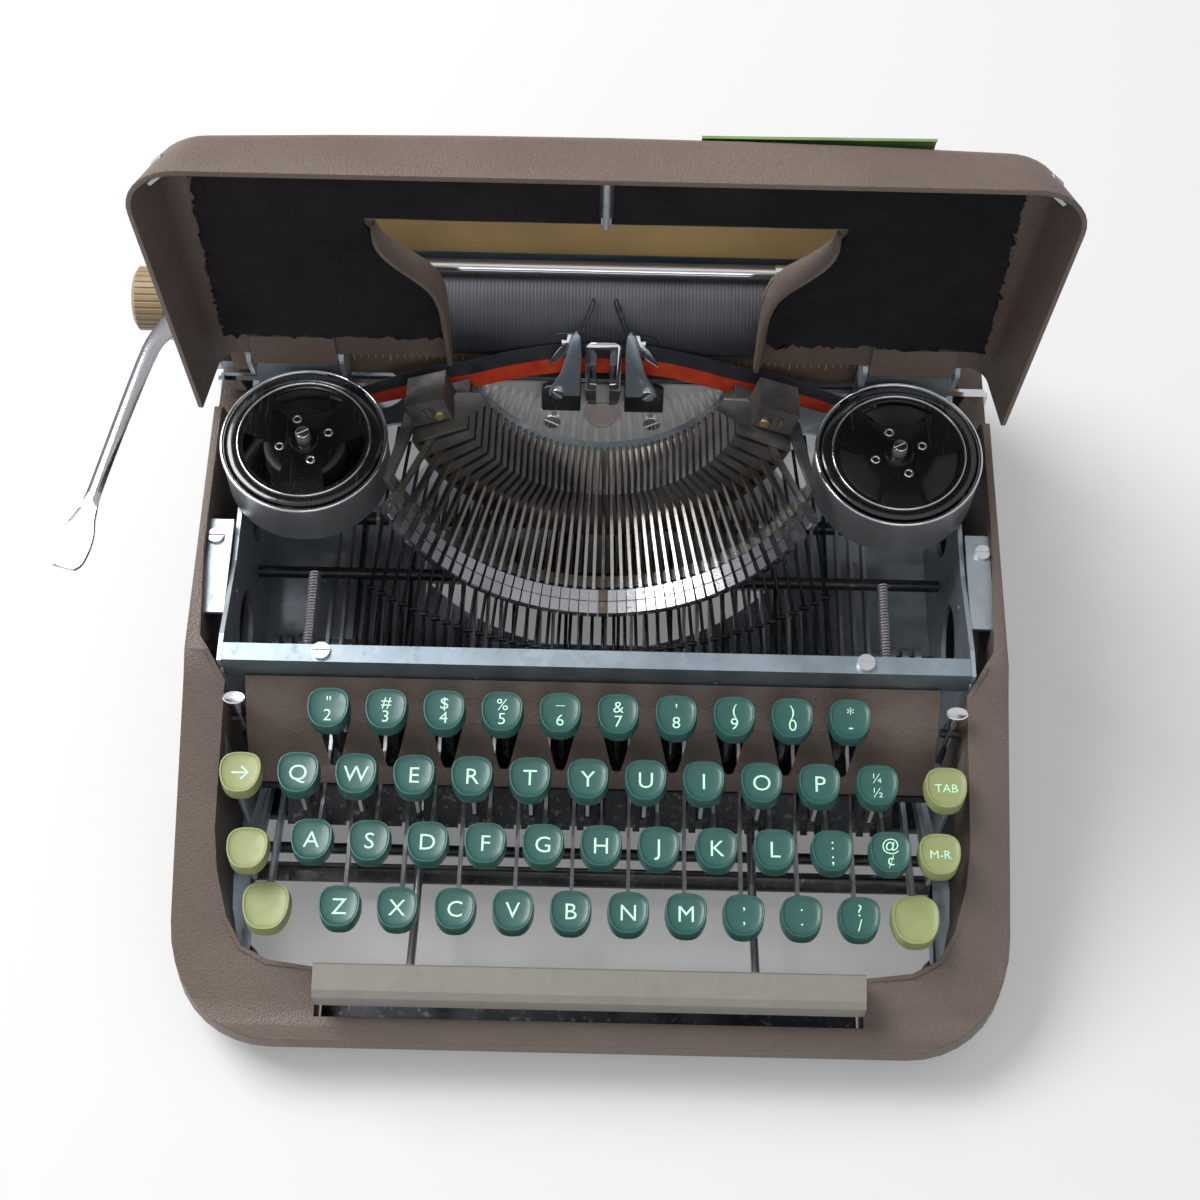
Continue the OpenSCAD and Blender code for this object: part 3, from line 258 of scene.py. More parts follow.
def moulded(name, shade, polish=0.2, coat=0.5):
    """Moulded plastic that hands have polished: swirls in the colour, and fine dust."""
    f = Finish(name, Coat_Roughness=0.16, Coat_Weight=coat, Specular_IOR_Level=0.4)
    swirl = f.spots(110, 4, 0.6, Distortion=1.2)
    wear = f.spots(520, 4, 0.6)
    dust = f.band(f.spots(2300, 2), 0.66, 0.74)
    tone = f.mix(f.spread(swirl), tinted(shade, 0.94), tinted(shade, 1.07))
    f.colour(f.mix(dust * 0.12, tone, (0.62, 0.62, 0.56)))
    f.rough(f.band(wear, 0.35, 0.7, polish, polish + 0.14))
    f.relief(swirl + wear * 0.4, 0.00006, 0.3)
    return f.material


def felt_cloth(name, shade):
    """Pressed felt: tangled fibres, pills and lint on a nearly black ground."""
    f = Finish(name, Sheen_Weight=0.06, Sheen_Roughness=0.6, Specular_IOR_Level=0.15)
    fibres = f.spots(900, 6, 0.8, Distortion=2.0)
    tufts = f.spots(150, 5, 0.65)
    lint = f.band(f.spots(2400, 2, 0.5), 0.68, 0.76)
    worn = f.band(f.spots(22, 4, 0.6), 0.45, 0.75)
    tone = f.mix(f.band(fibres, 0.35, 0.7), tinted(shade, 0.45), tinted(shade, 1.9))
    tone = f.mix(worn * 0.5, tone, (0.040, 0.030, 0.038))
    f.colour(f.mix(lint * 0.3, tone, (0.12, 0.12, 0.13)))
    f.rough(f.spread(fibres, 0.82, 1.0))
    f.relief(fibres * 0.6 + tufts, 0.0011, 0.8)
    return f.material


def rubber(name, shade, ribs=0.0):
    """Ground rubber with bloom; ribs is the pitch in metres of faint rings round it."""
    f = Finish(name)
    bloom = f.spots(50, 4)
    grit = f.spots(2200, 3)
    tone = f.mix(f.spread(bloom), shade, tinted(shade, 1.7, 0.004))
    height = grit
    if ribs:
        ring = f.wave(f.node("SeparateXYZ", "X", {"Vector": f.place}) * (2 * pi / ribs))
        mark = f.band(f.streaks((650, 25, 25), 2, 0.5), 0.4, 0.65)
        # The faint rings are painted lighter on their crests: a painted sheen on the ribs.
        tone = f.mix(f.band(ring, -0.2, 1) * (mark * 0.3 + 0.35), tone, tinted(shade, 2.6, 0.012))
        height = grit * 0.4 + ring * 0.5
    f.colour(tone)
    f.rough(f.spread(bloom, 0.42, 0.62))
    f.relief(height, 0.00008, 0.5)
    return f.material


def satin_enamel(name, shade):
    """Thin satin enamel on sheet metal, yellowed unevenly and rubbed by paper."""
    f = Finish(name)
    cloud = f.spots(26, 4)
    rubbed = f.streaks((14, 220, 220), 4, 0.6)
    f.colour(f.mix(f.spread(cloud), tinted(shade, 0.82), tinted(shade, 1.2)))
    f.rough(f.spread(rubbed, 0.26, 0.5))
    f.relief(rubbed + f.spots(900) * 0.4, 0.00005, 0.35)
    return f.material


def inked_ribbon(name):
    """Cotton ribbon, black over red, woven and unevenly inked. V runs across it."""
    f = Finish(name, Sheen_Weight=0.15, Specular_IOR_Level=0.3)
    place = f.node("TexCoord", "UV")
    along, up = (f.node("SeparateXYZ", axis, {"Vector": place}) for axis in "XY")
    edge = f.band(up + f.spots(1300, 3) * 0.05, 0.515, 0.545)
    weave = f.wave(along * 5200) * f.wave(up * 190)
    blots = f.spots(160, 4)
    red = f.mix(f.spread(blots), (0.58, 0.026, 0.005), (0.86, 0.085, 0.014))
    black = f.mix(f.spread(blots), (0.014, 0.015, 0.022), (0.040, 0.044, 0.060))
    tone = f.mix(edge, red, black)
    f.colour(f.mix(f.band(weave, -1, 1) * 0.25, tone, (0.010, 0.010, 0.012)))
    f.rough(f.spread(blots, 0.5, 0.75))
    f.relief(weave, 0.00006, 0.5)
    return f.material


paint = crackle_paint("taupe_wrinkle_paint", (0.158, 0.118, 0.098))
zinc = zinc_plate("zinc_plate", (0.50, 0.57, 0.62))
# A darker copy of the zinc for the cross bar, which faces up into the key light: painted shade.
shade_darkened_zinc = zinc_plate("cross_bar_plate_painted_shade", (0.30, 0.37, 0.43))
nickel = plated("bright_nickel", (0.80, 0.82, 0.85), 0.14)
chrome = plated("polished_chrome", (0.86, 0.88, 0.92), 0.07, 0.03, 0.06)
type_steel = oxide("bronzed_typebars", (0.085, 0.072, 0.058), 0.24, (0.46, 0.44, 0.40))
slug_steel = plated("bright_type_slugs", (0.50, 0.51, 0.54), 0.2, 0.05, 0.4)
# A paler plate for the typebars' upward faces: a painted highlight.
top_highlight_steel = plated("typebar_tops_painted_highlight", (0.44, 0.41, 0.37), 0.26, 0.08, 0.3)
segment_steel = oxide("grey_segment_steel", (0.125, 0.120, 0.115), 0.34, (0.36, 0.35, 0.33))
shaft_steel = oxide("oiled_shafts", (0.040, 0.040, 0.042), 0.25, (0.32, 0.32, 0.33))
cup_steel = plated("brushed_cup_steel", (0.40, 0.41, 0.43), 0.3, 0.12, 0.3, bare=0.7)
brass = plated("old_brass", (0.68, 0.55, 0.30), 0.25, 0.08, 0.3)
lever_steel = plated("grey_plated_levers", (0.60, 0.61, 0.63), 0.3, 0.08, 0.25)
black_oxide = oxide("black_oxide", (0.018, 0.019, 0.022))
spring_steel = plated("grey_spring_wire", (0.42, 0.41, 0.42), 0.25, 0.08, 0.4, bare=0.75)
type_guide_steel = oxide("dark_type_guide", (0.09, 0.095, 0.105), 0.25, (0.5, 0.5, 0.52))
# Chrome for the line space lever, darker than the polished chrome to hold down the key light's
# glare: painted shade, with a little more dirt and scratching.
lever_chrome = plated("lever_chrome_worn_and_shaded", (0.56, 0.57, 0.60), 0.09, 0.05, 0.2)
black_gloss = enamel("black_gloss_enamel", (0.006, 0.006, 0.007))
green = moulded("green_key_plastic", (0.024, 0.096, 0.084), 0.3, 0.18)
olive = moulded("olive_key_plastic", (0.27, 0.305, 0.13), 0.38, 0.08)
bar_plastic = moulded("grey_bar_plastic", (0.225, 0.215, 0.190), 0.34, 0.2)
legend_paint = moulded("mint_legends", (0.56, 0.92, 0.70), 0.5, 0.0)
black_rubber = rubber("black_rubber", (0.020, 0.020, 0.021))
platen_rubber = rubber("platen_rubber", (0.026, 0.027, 0.034), 0.0012)
knob_plastic = moulded("tan_knob_plastic", (0.30, 0.215, 0.12), 0.35, 0.1)
felt = felt_cloth("black_felt", (0.0055, 0.0048, 0.0075))
ribbon_cloth = inked_ribbon("inked_ribbon")
table_enamel = satin_enamel("gold_tan_enamel", (0.40, 0.27, 0.115))
scale_enamel = satin_enamel("brown_scale_enamel", (0.215, 0.160, 0.112))

NODE_FINISHES = {
    paint: "body_shell number_plate ribbon_cover",
    shade_darkened_zinc: "front_cross_bar",
    zinc: "side_frames base_pan shell_brackets cover_fittings carriage_frame",
    shaft_steel: "cross_shafts",
    lever_steel: "q_row_levers a_row_levers z_row_levers space_bar_arms",
    nickel: "chassis_screws bell mainspring_drum escapement_wheel segment_plate "
            "ribbon_colour_lever touch_lever left_margin_stop right_margin_stop",
    chrome: "card_holders carriage_rail ribbon_vibrator paper_bail "
            "paper_release_lever return_lever",
    type_steel: "typebars typebar_h",
    black_oxide: "number_row_levers key_comb sublevers typebar_links",
    segment_steel: "segment",
    cup_steel: "spool_cups",
    type_guide_steel: "type_guide",
    spring_steel: "shift_springs",
    black_gloss: "left_spool right_spool",
    green: "number_row_keys q_row_keys a_row_keys z_row_keys key_h",
    olive: "shift_keys shift_lock_key backspace_key tab_key margin_release_key",
    bar_plastic: "space_bar",
    black_rubber: "rubber_feet feed_rollers",
    platen_rubber: "platen",
    knob_plastic: "platen_knobs",
    felt: "cover_felt",
    ribbon_cloth: "ribbon",
    table_enamel: "paper_table",
    scale_enamel: "scale_plate",
}
for finish, names in NODE_FINISHES.items():
    for name in names.split():
        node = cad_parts[name]
        node.data.materials.clear()
        node.data.materials.append(finish)

# At rest the slugs lie further than this from the printing point, square to the paper
SLUGS_BEYOND = 43
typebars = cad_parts["typebars"].data
typebars.materials.append(slug_steel)
typebars.materials.append(top_highlight_steel)
# Faces turned upwards take the paler plate, a painted highlight on the typebars' tops.
for face in typebars.polygons:
    x, y, z = drawn(face.center)
    slug = (PRINT_Y - y) * LEAN_C + (z - PRINT_Z) * LEAN_S > SLUGS_BEYOND
    face.material_index = 1 if slug else 2 if face.normal.z > 0.72 else 0

# The rods and clips stay bare; the hinge straps below them are painted with the cover
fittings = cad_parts["cover_fittings"].data
fittings.materials.append(paint)
for face in fittings.polygons:
    face.material_index = int(drawn(face.center)[2] < 128)


# ---- modelling by hand


def named(piece, name):
    piece.name = piece.data.name = name
    return piece


def linked(piece):
    bpy.context.scene.collection.objects.link(piece)
    return piece


def primitive(kind, name, **how):
    """Adds one primitive with nothing else selected."""
    only()
    getattr(bpy.ops.mesh, "primitive_" + kind + "_add")(**how)
    return named(bpy.context.object, name)


def only(*pieces):
    """Selects these pieces and nothing else; the first is the active one."""
    bpy.ops.object.select_all(action="DESELECT")
    for piece in pieces:
        piece.select_set(True)
    if pieces:
        bpy.context.view_layer.objects.active = pieces[0]


def converted(name):
    """Turns the active text or curve into a mesh with its place moved in."""
    bpy.ops.object.convert(target="MESH")
    return settle(named(bpy.context.object, name))


class Editing:
    """Edit mode on one piece. What an operator acts on is picked by its place or normal."""

    def __init__(self, piece):
        self.piece = piece

    def __enter__(self):
        only(self.piece)
        bpy.ops.object.mode_set(mode="EDIT")
        self.everything()
        return self

    def __exit__(self, *failure):
        bpy.ops.object.mode_set(mode="OBJECT")

    def pick(self, kind, test):
        """Selects the VERTs, EDGEs or FACEs for which test(middle, part) holds."""
        bpy.ops.mesh.select_mode(type=kind)
        bpy.ops.mesh.select_all(action="DESELECT")
        mesh = bmesh.from_edit_mesh(self.piece.data)
        parts = {"VERT": mesh.verts, "EDGE": mesh.edges, "FACE": mesh.faces}[kind]
        for part in parts:
            points = [part] if kind == "VERT" else part.verts
            middle = sum((p.co for p in points), Vector()) / len(points)
            if test(middle, part):
                part.select_set(True)
        mesh.select_flush_mode()
        bmesh.update_edit_mesh(self.piece.data)

    def everything(self):
        bpy.ops.mesh.select_all(action="SELECT")

    def face_out(self):
        self.everything()
        bpy.ops.mesh.normals_make_consistent(inside=False)

    def bisect(self, place, normal):
        self.everything()
        bpy.ops.mesh.bisect(plane_co=place, plane_no=normal)

    def resize(self, share_x, share_y, centre):
        bpy.ops.transform.resize(value=(share_x, share_y, 1), center_override=centre)

    def move(self, x=0.0, y=0.0, z=0.0):
        bpy.ops.transform.translate(value=(x * MM, y * MM, z * MM))

    def inset(self, by, sink=0.0):
        bpy.ops.mesh.inset(thickness=by * MM, depth=-sink * MM, use_even_offset=True)

    def extrude(self, x=0.0, y=0.0, z=0.0):
        bpy.ops.mesh.extrude_region_move(
            TRANSFORM_OT_translate={"value": (x * MM, y * MM, z * MM)})

    def ring(self, share, z=0.0):
        """Draws the picked face in to a share of its size inside a new ring of faces."""
        self.extrude(z=z)
        self.resize(share, share, (0, 0, 0))

    def bevel(self, by, segments):
        bpy.ops.mesh.bevel(offset=by * MM, segments=segments, affect="EDGES", profile=0.5,
                           clamp_overlap=True)


def soften(piece, by, over=0.7, segments=2):
    """Bevels the edges at which the faces turn by more than an angle in radians."""
    with Editing(piece) as e:
        e.pick("EDGE", lambda m, edge: edge.calc_face_angle(0) > over)
        e.bevel(by, segments)


def modify(piece, kind, **settings):
    only(piece)
    modifier = piece.modifiers.new(kind.lower(), kind)
    for name, value in settings.items():
        setattr(modifier, name, value)
    bpy.ops.object.modifier_apply(modifier=modifier.name)


def smooth(piece, angle):
    only(piece)
    bpy.ops.object.shade_smooth_by_angle(angle=radians(angle))


def settle(piece):
    """Moves the piece's place, turn and scale into its mesh."""
    only(piece)
    bpy.ops.object.transform_apply(location=True, rotation=True, scale=True)
    return piece


def fit(piece, body, finish, replaced=(), angle=35):
    """Finishes a piece: its place, its shading, its material and what it belongs to."""
    settle(piece)
    if angle:
        smooth(piece, angle)
    piece.data.materials.clear()
    piece.data.materials.append(finish)
    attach(piece, body)
    if replaced:
        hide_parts(*replaced)
    return piece


def copied(piece, name, place):
    made = linked(piece.copy())
    made.data = piece.data.copy()
    made.location = place
    return named(made, name)


def joined(pieces, name):
    only(*pieces)
    if len(pieces) > 1:
        bpy.ops.object.join()
    return settle(named(bpy.context.object, name))


def discard(piece):
    bpy.data.objects.remove(piece, do_unlink=True)


def box(name, size, place, **more):
    """A block of the given size in millimetres."""
    made = primitive("cube", name, size=1, location=place, **more)
    made.scale = [length * MM for length in size]
    return settle(made)


def polygon(name, points, fill="NGON"):
    """A closed ring of vertices at the given points."""
    made = primitive("circle", name, vertices=len(points), radius=0.01, fill_type=fill)
    for vertex, point in zip(made.data.vertices, points):
        vertex.co = point
    return made


def outline_plate(name, points, extrude):
    """A flat face through the given points, extruded by a vector in millimetres."""
    plate = polygon(name, points)
    with Editing(plate) as e:
        e.extrude(*extrude)
        e.face_out()
    return plate


def side_plate(name, x, outline, thick):
    """A plate cut to a side view, with its left face at x."""
    return outline_plate(name, [at(x, y, z) for y, z in outline], (thick, 0, 0))


def plan_plate(name, z, outline, thick, place=at):
    """A plate cut to a plan, with its lower face at z, or a cutter on the closed cover."""
    return outline_plate(name, [place(x, y, z) for x, y in outline], (0, 0, thick))


def sheet_through(name, rows):
    """A grid of faces whose rows of vertices pass through the given rows of points."""
    made = primitive("grid", name, x_subdivisions=len(rows[0]) - 1,
                     y_subdivisions=len(rows) - 1, size=1)
    points = [p for row in rows for p in row]
    assert len(points) == len(made.data.vertices), (name, len(points))
    for vertex, point in zip(made.data.vertices, points):
        vertex.co = point
    return made


def curve_through(points, steps):
    """Points on a smooth curve through the given ones, with so many steps between two."""
    points = [Vector(p) for p in points]
    ends = [points[0] * 2 - points[1]] + points + [points[-1] * 2 - points[-2]]
    made = []
    for a, b, c, d in zip(ends, ends[1:], ends[2:], ends[3:]):
        for i in range(steps):
            t = i / steps
            made.append(0.5 * (2 * b + (c - a) * t + (2 * a - 5 * b + 4 * c - d) * t ** 2
                               + (3 * b - a - 3 * c + d) * t ** 3))
    return made + [points[-1]]


def turned(name, outline, centre, steps=64):
    """A closed outline of (radius, height) pairs spun round an upright line."""
    made = polygon(name, [centre + Vector((r, 0, h)) * MM for r, h in outline], "NOTHING")
    with Editing(made) as e:
        bpy.ops.mesh.spin(steps=steps, angle=2 * pi, center=centre, axis=(0, 0, 1))
        e.everything()
        bpy.ops.mesh.remove_doubles(threshold=0.000005)
        e.face_out()
    return made


def hoop(name, centre, r, wire, around=64, sides=10):
    return primitive("torus", name, location=centre, major_radius=r * MM,
                     minor_radius=wire * MM, major_segments=around, minor_segments=sides)


def screw(name, place, r, h, turn, body, finish=nickel, rotation=(0, 0, 0)):
    """A cheese-head screw seen from above: a domed head with a driver slot."""
    head = primitive("cylinder", name, vertices=32, radius=r * MM, depth=h * MM)
    with Editing(head) as e:
        e.pick("EDGE", lambda m, edge: m.z > h * MM * 0.4 and edge.calc_face_angle(0) > 1)
        e.bevel(0.3 * h, 3)
    cut_away(head, box("slot", (2.4 * r, 0.3 * r, 0.5 * h), (0, 0, h * MM * 0.45),
                       rotation=(0, 0, turn)))
    settle(head)
    head.rotation_euler = rotation
    head.location = place
    return fit(head, body, finish, angle=50)


def cut_away(piece, cutter):
    modify(piece, "BOOLEAN", object=cutter, operation="DIFFERENCE", solver="EXACT")
    discard(cutter)


def mirrored_points(half):
    return half + [(-x, y) for x, y in reversed(half)]


def side_arm(name, x, outline, thick=1.8, pivot=(150, 16)):
    """A flat arm cut to the drawing's side view, with its hub on its pivot."""
    arm = side_plate(name, x - thick / 2, outline, thick)
    with Editing(arm) as e:
        e.pick("EDGE", lambda m, edge: abs(edge.calc_face_angle(0)) > 0.5
               and abs(edge.verts[0].co.x - edge.verts[1].co.x) < 1e-6)
        e.bevel(0.25, 2)
    hub = primitive("cylinder", name, vertices=32, radius=5 * MM, depth=(thick + 0.6) * MM,
                    location=at(x, *pivot), rotation=(0, pi / 2, 0))
    with Editing(hub) as e:
        e.pick("FACE", lambda m, f: len(f.verts) > 8)
        e.inset(1.6)
        e.inset(0.2, 0.25)
    return joined([arm, hub], name)


# ---- keytops

KEYTOP_H = 5.4
OUTLINE_STEPS = 40


def keytop_outline(w, l):
    """Round-cornered outline of a keytop, broad at the back and narrow at the front."""
    points = []
    for i in range(OUTLINE_STEPS):
        turn = 2 * pi * i / OUTLINE_STEPS
        c, s = cos(turn), sin(turn)
        x = w / 2.2 * copysign(abs(c) ** 0.74, c) * (1 + 0.11 * s)
        y = l / 2 * copysign(abs(s) ** (0.78 if s > 0 else 0.94), s)
        points.append((x * MM, y * MM, 0))
    return points


def keytop_pattern(w, l):
    """A dished keytop with a thin standing rim; its rim's foot is at z = 0."""
    top = outline_plate("keytop_pattern", keytop_outline(w, l), (0, 0, -KEYTOP_H))
    with Editing(top) as e:
        e.pick("FACE", lambda m, f: f.normal.z < -0.9)
        e.resize(1.03, 1.03, (0, 0, 0))
        e.ring(0.8)
        e.ring(0.97, 1.4)
        e.pick("FACE", lambda m, f: f.normal.z > 0.9)
        for share, rise in ((0.985, 0.16), (0.965, 0.05), (0.965, -0.08), (0.975, -0.22),
                            (0.93, -0.17), (0.86, -0.13), (0.78, -0.1), (0.6, -0.07)):
            e.ring(share, rise)
    return top


# How deep the dish lies below the rim, and how far a legend stands out of it
LEGEND_DEPTH, LEGEND_RAISED = 0.54, 0.14


def lettering(name, text, size, place):
    """One legend as a thin raised plate of solid letters."""
    only()
    bpy.ops.object.text_add(location=place)
    words = bpy.context.object
    words.data.body = text
    words.data.align_x, words.data.align_y = "CENTER", "CENTER"
    words.data.size = size * MM
    words.data.extrude = LEGEND_RAISED * MM / 2
    words.data.offset = -0.004 * size * MM
    words.data.resolution_u = 3
    words = converted(name)
    with Editing(words):
        bpy.ops.mesh.remove_doubles(threshold=0.00001)
    return words


# Rows as in the drawing: first key, Y, height of the rim, body, node and the legends
KEY_PITCH = 19.05
ROWS = {
    "number": (-87.7, 93.5, 86, "number_bank", "number_row_keys",
               ['" 2', "# 3", "$ 4", "% 5", "_ 6", "& 7", "' 8", "( 9", ") 0", "* -"]),
    "q": (-97.2, 75, 75, "q_bank", "q_row_keys", list("QWERTYUIOP") + ["¼ ½"]),
    "a": (-92.4, 56, 64, "a_bank", "a_row_keys", list("ASDFGHJKL") + [": ;", "@ ¢"]),
    "z": (-82.9, 37, 53, "z_bank", "z_row_keys", list("ZXCVBNM") + [", ,", ". .", "? /"]),
}
keytop = keytop_pattern(14.8, 14.3)
wide_keytop = keytop_pattern(16.9, 16.7)


def legend_marks(name, legend, x, y, z):
    surface = z - LEGEND_DEPTH + (0.04 if len(legend) == 1 else 0.16)
    if len(legend) == 1:
        return [lettering(name, legend, 8.0, at(x, y - 0.3, surface))]
    over, under = legend.split()
    small = 4.8 if over in "¼" else 5.9
    drop = {"_": 2.6, '"': -0.6, "'": -0.6, "*": -0.5, ",": 1.5, ".": 1.4}.get(over, 0)
    lift = {",": 1.6, ".": 1.5}.get(under, 0)
    return [lettering(name, over, small, at(x, y + 2.3 + drop, surface)),
            lettering(name, under, small, at(x, y - 2.8 + lift, surface))]


H_LEVER = [(200, 22), (200, 30), (100, 37), (76, 45), (59, 53), (58.7, 59.0), (53.3, 59.0),
           (53.3, 51), (74, 39.5), (98, 30.5)]
for row, (first, row_y, row_z, bank, row_node, legends) in ROWS.items():
    tops, marks = [], []
    for i, legend in enumerate(legends):
        x = first + KEY_PITCH * i
        here = legend_marks(f"legend_{row}_{i}", legend, x, row_y, row_z)
        if legend == "H":
            fit(copied(keytop, "h_keytop", at(x, row_y, row_z)), "h_key", green,
                ["key_h"])
            fit(side_arm("h_lever", x, H_LEVER, 1.2, (200, 26)), "h_key", lever_steel,
                ["key_h"])
            fit(joined(here, "h_legend"), "h_key", legend_paint, angle=0)
            continue
        tops.append(copied(keytop, "keytop", at(x, row_y, row_z)))
        marks += here
    fit(joined(tops, f"{row}_row_keytops"), bank, green, [row_node])
    fit(joined(marks, f"{row}_row_legends"), bank, legend_paint, angle=0)


# Side views of the arms: each goes on from PIVOT_END over the keytop's foot and back below
SIDE_ARMS = {
    "shift": [(96, 25), (41, 42), (40.2, 47), (33.8, 47), (33.8, 38), (94, 20)],
    "lock": [(98, 25), (57, 47), (56, 58), (49.6, 58), (49.6, 42), (96, 19)],
    "margin": [(98, 25), (60, 47), (59, 58), (52.8, 58), (52.8, 42), (96, 19)],
    "back": [(100, 27), (79, 44), (78, 69), (71.6, 69), (71.6, 38), (98, 20)],
}
PIVOT_END = [(150, 12.4), (150, 19.6)]
FUNCTION_KEYS = [
    # name, keytop, its place, arm's X, arm, body, node, legend
    ("shift_lock", keytop, (-113.4, 52.8, 63), -113.4, "lock", "shift_lock", "shift_lock_key", ""),
    ("backspace", keytop, (-116.4, 75, 74), -118, "back", "backspace", "backspace_key", "→"),
    ("tab", keytop, (116, 75, 74), 118, "back", "tab", "tab_key", "TAB"),
    ("margin_release", keytop, (114.6, 56, 63), 113.4, "margin", "margin_release",
     "margin_release_key", "M-R"),
    ("left_shift", wide_keytop, (-107.2, 37, 52), -108.6, "shift", "shift", "shift_keys", ""),
    ("right_shift", wide_keytop, (107.2, 37, 52), 108.6, "shift", "shift", "shift_keys", ""),
]
for name, pattern, (x, y, z), arm_x, arm, body, node_name, legend in FUNCTION_KEYS:
    fit(copied(pattern, name + "_keytop", at(x, y, z)), body, olive, [node_name])
    fit(side_arm(name + "_arm", arm_x, PIVOT_END + SIDE_ARMS[arm]), body, zinc,
        [node_name])
    if legend:
        size = 8 if len(legend) == 1 else 4.2
        fit(lettering(name + "_legend", legend, size, at(x, y - 0.2, z - LEGEND_DEPTH + 0.04)),
            body, legend_paint, angle=0)

TUBE_HALF = 109
tube = primitive("cylinder", "shift_torsion_tube", vertices=40, radius=3.6 * MM,
                 depth=2 * TUBE_HALF * MM, location=at(0, 150, 16), rotation=(0, pi / 2, 0))
with Editing(tube) as e:
    e.pick("FACE", lambda m, f: len(f.verts) > 8)
    e.inset(1.4)
    e.inset(0.2, 1.5)
    e.pick("EDGE", lambda m, edge: edge.calc_face_angle(0) > 1.2
           and abs(abs(drawn(m)[0]) - TUBE_HALF) < 0.01)
    e.bevel(0.3, 2)
fit(tube, "shift", zinc, ["shift_keys"])
discard(keytop)
discard(wide_keytop)

# ---- shell and cover


BODY_W, BODY_D = 284, 286
# Height, loss of half width, front edge, back edge
BODY_LEVELS = [(4, 4, 4, 283), (16, 0, 0, 286), (50, 2.5, 0.6, 285), (92, 6, 1.5, 284)]
# Side view of the shell's upper edge, and half of the well's plan
RIM_LINE = [(-6, 22), (1, 24), (4, 26), (12, 27), (32, 38), (104, 83), (112, 90), (207, 90),
            (209, 78), (292, 78)]
WELL_EDGE = [(91.8, 7.6), (91.8, 22.5), (108, 24.4), (116.6, 28.4), (121.8, 37), (125, 50),
             (125.8, 62), (123, 104), (131.5, 117), (133.8, 150), (133.6, 206), (128, 214),
             (128, 276)]


def body_block():
    """The shell's outside as a solid: rounded in plan, drawn in towards the top."""
    low, high = BODY_LEVELS[0][0], BODY_LEVELS[-1][0]
    block = box("body_block", (BODY_W, BODY_D, high - low), at(0, BODY_D / 2, (low + high) / 2))
    upright = lambda edge: abs(edge.verts[0].co.z - edge.verts[1].co.z) > 0.01
    with Editing(block) as e:
        e.pick("EDGE", lambda m, edge: upright(edge) and drawn(m)[1] < 10)
        e.bevel(35, 9)
        e.pick("EDGE", lambda m, edge: upright(edge) and drawn(m)[1] > BODY_D - 10)
        e.bevel(25, 8)
        for z, *_ in BODY_LEVELS[1:-1]:
            e.bisect(at(0, 0, z), (0, 0, 1))
        for z, loss, front, back in BODY_LEVELS:
            e.pick("VERT", lambda m, v: abs(drawn(m)[2] - z) < 0.01)
            e.resize(1 - 2 * loss / BODY_W, (back - front) / BODY_D, at(0, BODY_D / 2, z))
            e.move(y=(front + back) / 2 - BODY_D / 2)
    return block


shell = body_block()
above = RIM_LINE + [(292, 130), (-6, 130)]
cut_away(shell, side_plate("above_rim", -160, above, 320))
cut_away(shell, plan_plate("well", 12, mirrored_points(WELL_EDGE), 100))


def on_top(m):
    """True where the point lies on the sloping rim and not on the walls."""
    y, z = drawn(m)[1:]
    for (y0, z0), (y1, z1) in zip(RIM_LINE, RIM_LINE[1:]):
        if y0 - 0.01 <= y <= y1 + 0.01:
            if abs(z - (z0 + (z1 - z0) * (y - y0) / (y1 - y0))) < 0.05:
                return True
    return False


def in_well(m):
    """True on the wall of the well."""
    x, y, z = drawn(m)
    for (x0, y0), (x1, y1) in zip(WELL_EDGE, WELL_EDGE[1:]):
        along = Vector((x1 - x0, y1 - y0))
        to = Vector((abs(x) - x0, y - y0))
        share = max(0, min(1, to.dot(along) / along.length_squared))
        if (to - along * share).length < 0.4:
            return True
    return 275 < y < 277 or 6 < y < 8 and abs(x) < 92


with Editing(shell) as e:
    bpy.ops.mesh.remove_doubles(threshold=0.00002)
    e.pick("FACE", lambda m, face: abs(face.normal.z) > 0.95 and drawn(m)[2] < 13)
    bpy.ops.mesh.delete(type="FACE")
    rim = lambda edge: len(edge.link_faces) == 2 and sum(
        on_top(f.calc_center_median()) or f.normal.z > 0.3 for f in edge.link_faces) == 1
    e.pick("EDGE", lambda m, edge: rim(edge) and not in_well(m) and edge.calc_face_angle(0) > 0.6)
    e.bevel(6.5, 5)
    e.pick("EDGE", lambda m, edge: rim(edge) and in_well(m) and edge.calc_face_angle(0) > 0.6)
    e.bevel(3.0, 4)
modify(shell, "SOLIDIFY", thickness=1.6 * MM, offset=-1)
fit(named(shell, "painted_shell"), "root", paint, ["body_shell"], angle=40)

HINGE_Y, HINGE_Z = 210, 118
COVER_OPEN = radians(-95.4)
# The closed cover: its front and back edge from the hinge line, its depth and half its width
COVER_LEN, COVER_BACK, COVER_DROP, COVER_HALF = 113, 3.5, 26, 134
# Half of the cut-out: across, forward of the hinge line
CUT_EDGE = [(51, 1), (51.5, 36), (53.5, 44), (58, 50), (65, 56), (70, 61), (72.5, 66),
            (72.5, 69)]
raise_cover = (Matrix.Translation(at(0, HINGE_Y, HINGE_Z)) @ Matrix.Rotation(COVER_OPEN, 4, "X")
               @ Matrix.Translation(-at(0, HINGE_Y, HINGE_Z)))


def closed(x, run, depth):
    """A point of the closed cover: across, forward of the hinge line, and below the top."""
    return at(x, HINGE_Y - run, HINGE_Z - depth)


def on_cover(m):
    x, y, z = drawn(m)
    return x, HINGE_Y - y, HINGE_Z - z


def raised(piece):
    only(piece)
    piece.matrix_world = raise_cover @ piece.matrix_world
    return settle(piece)


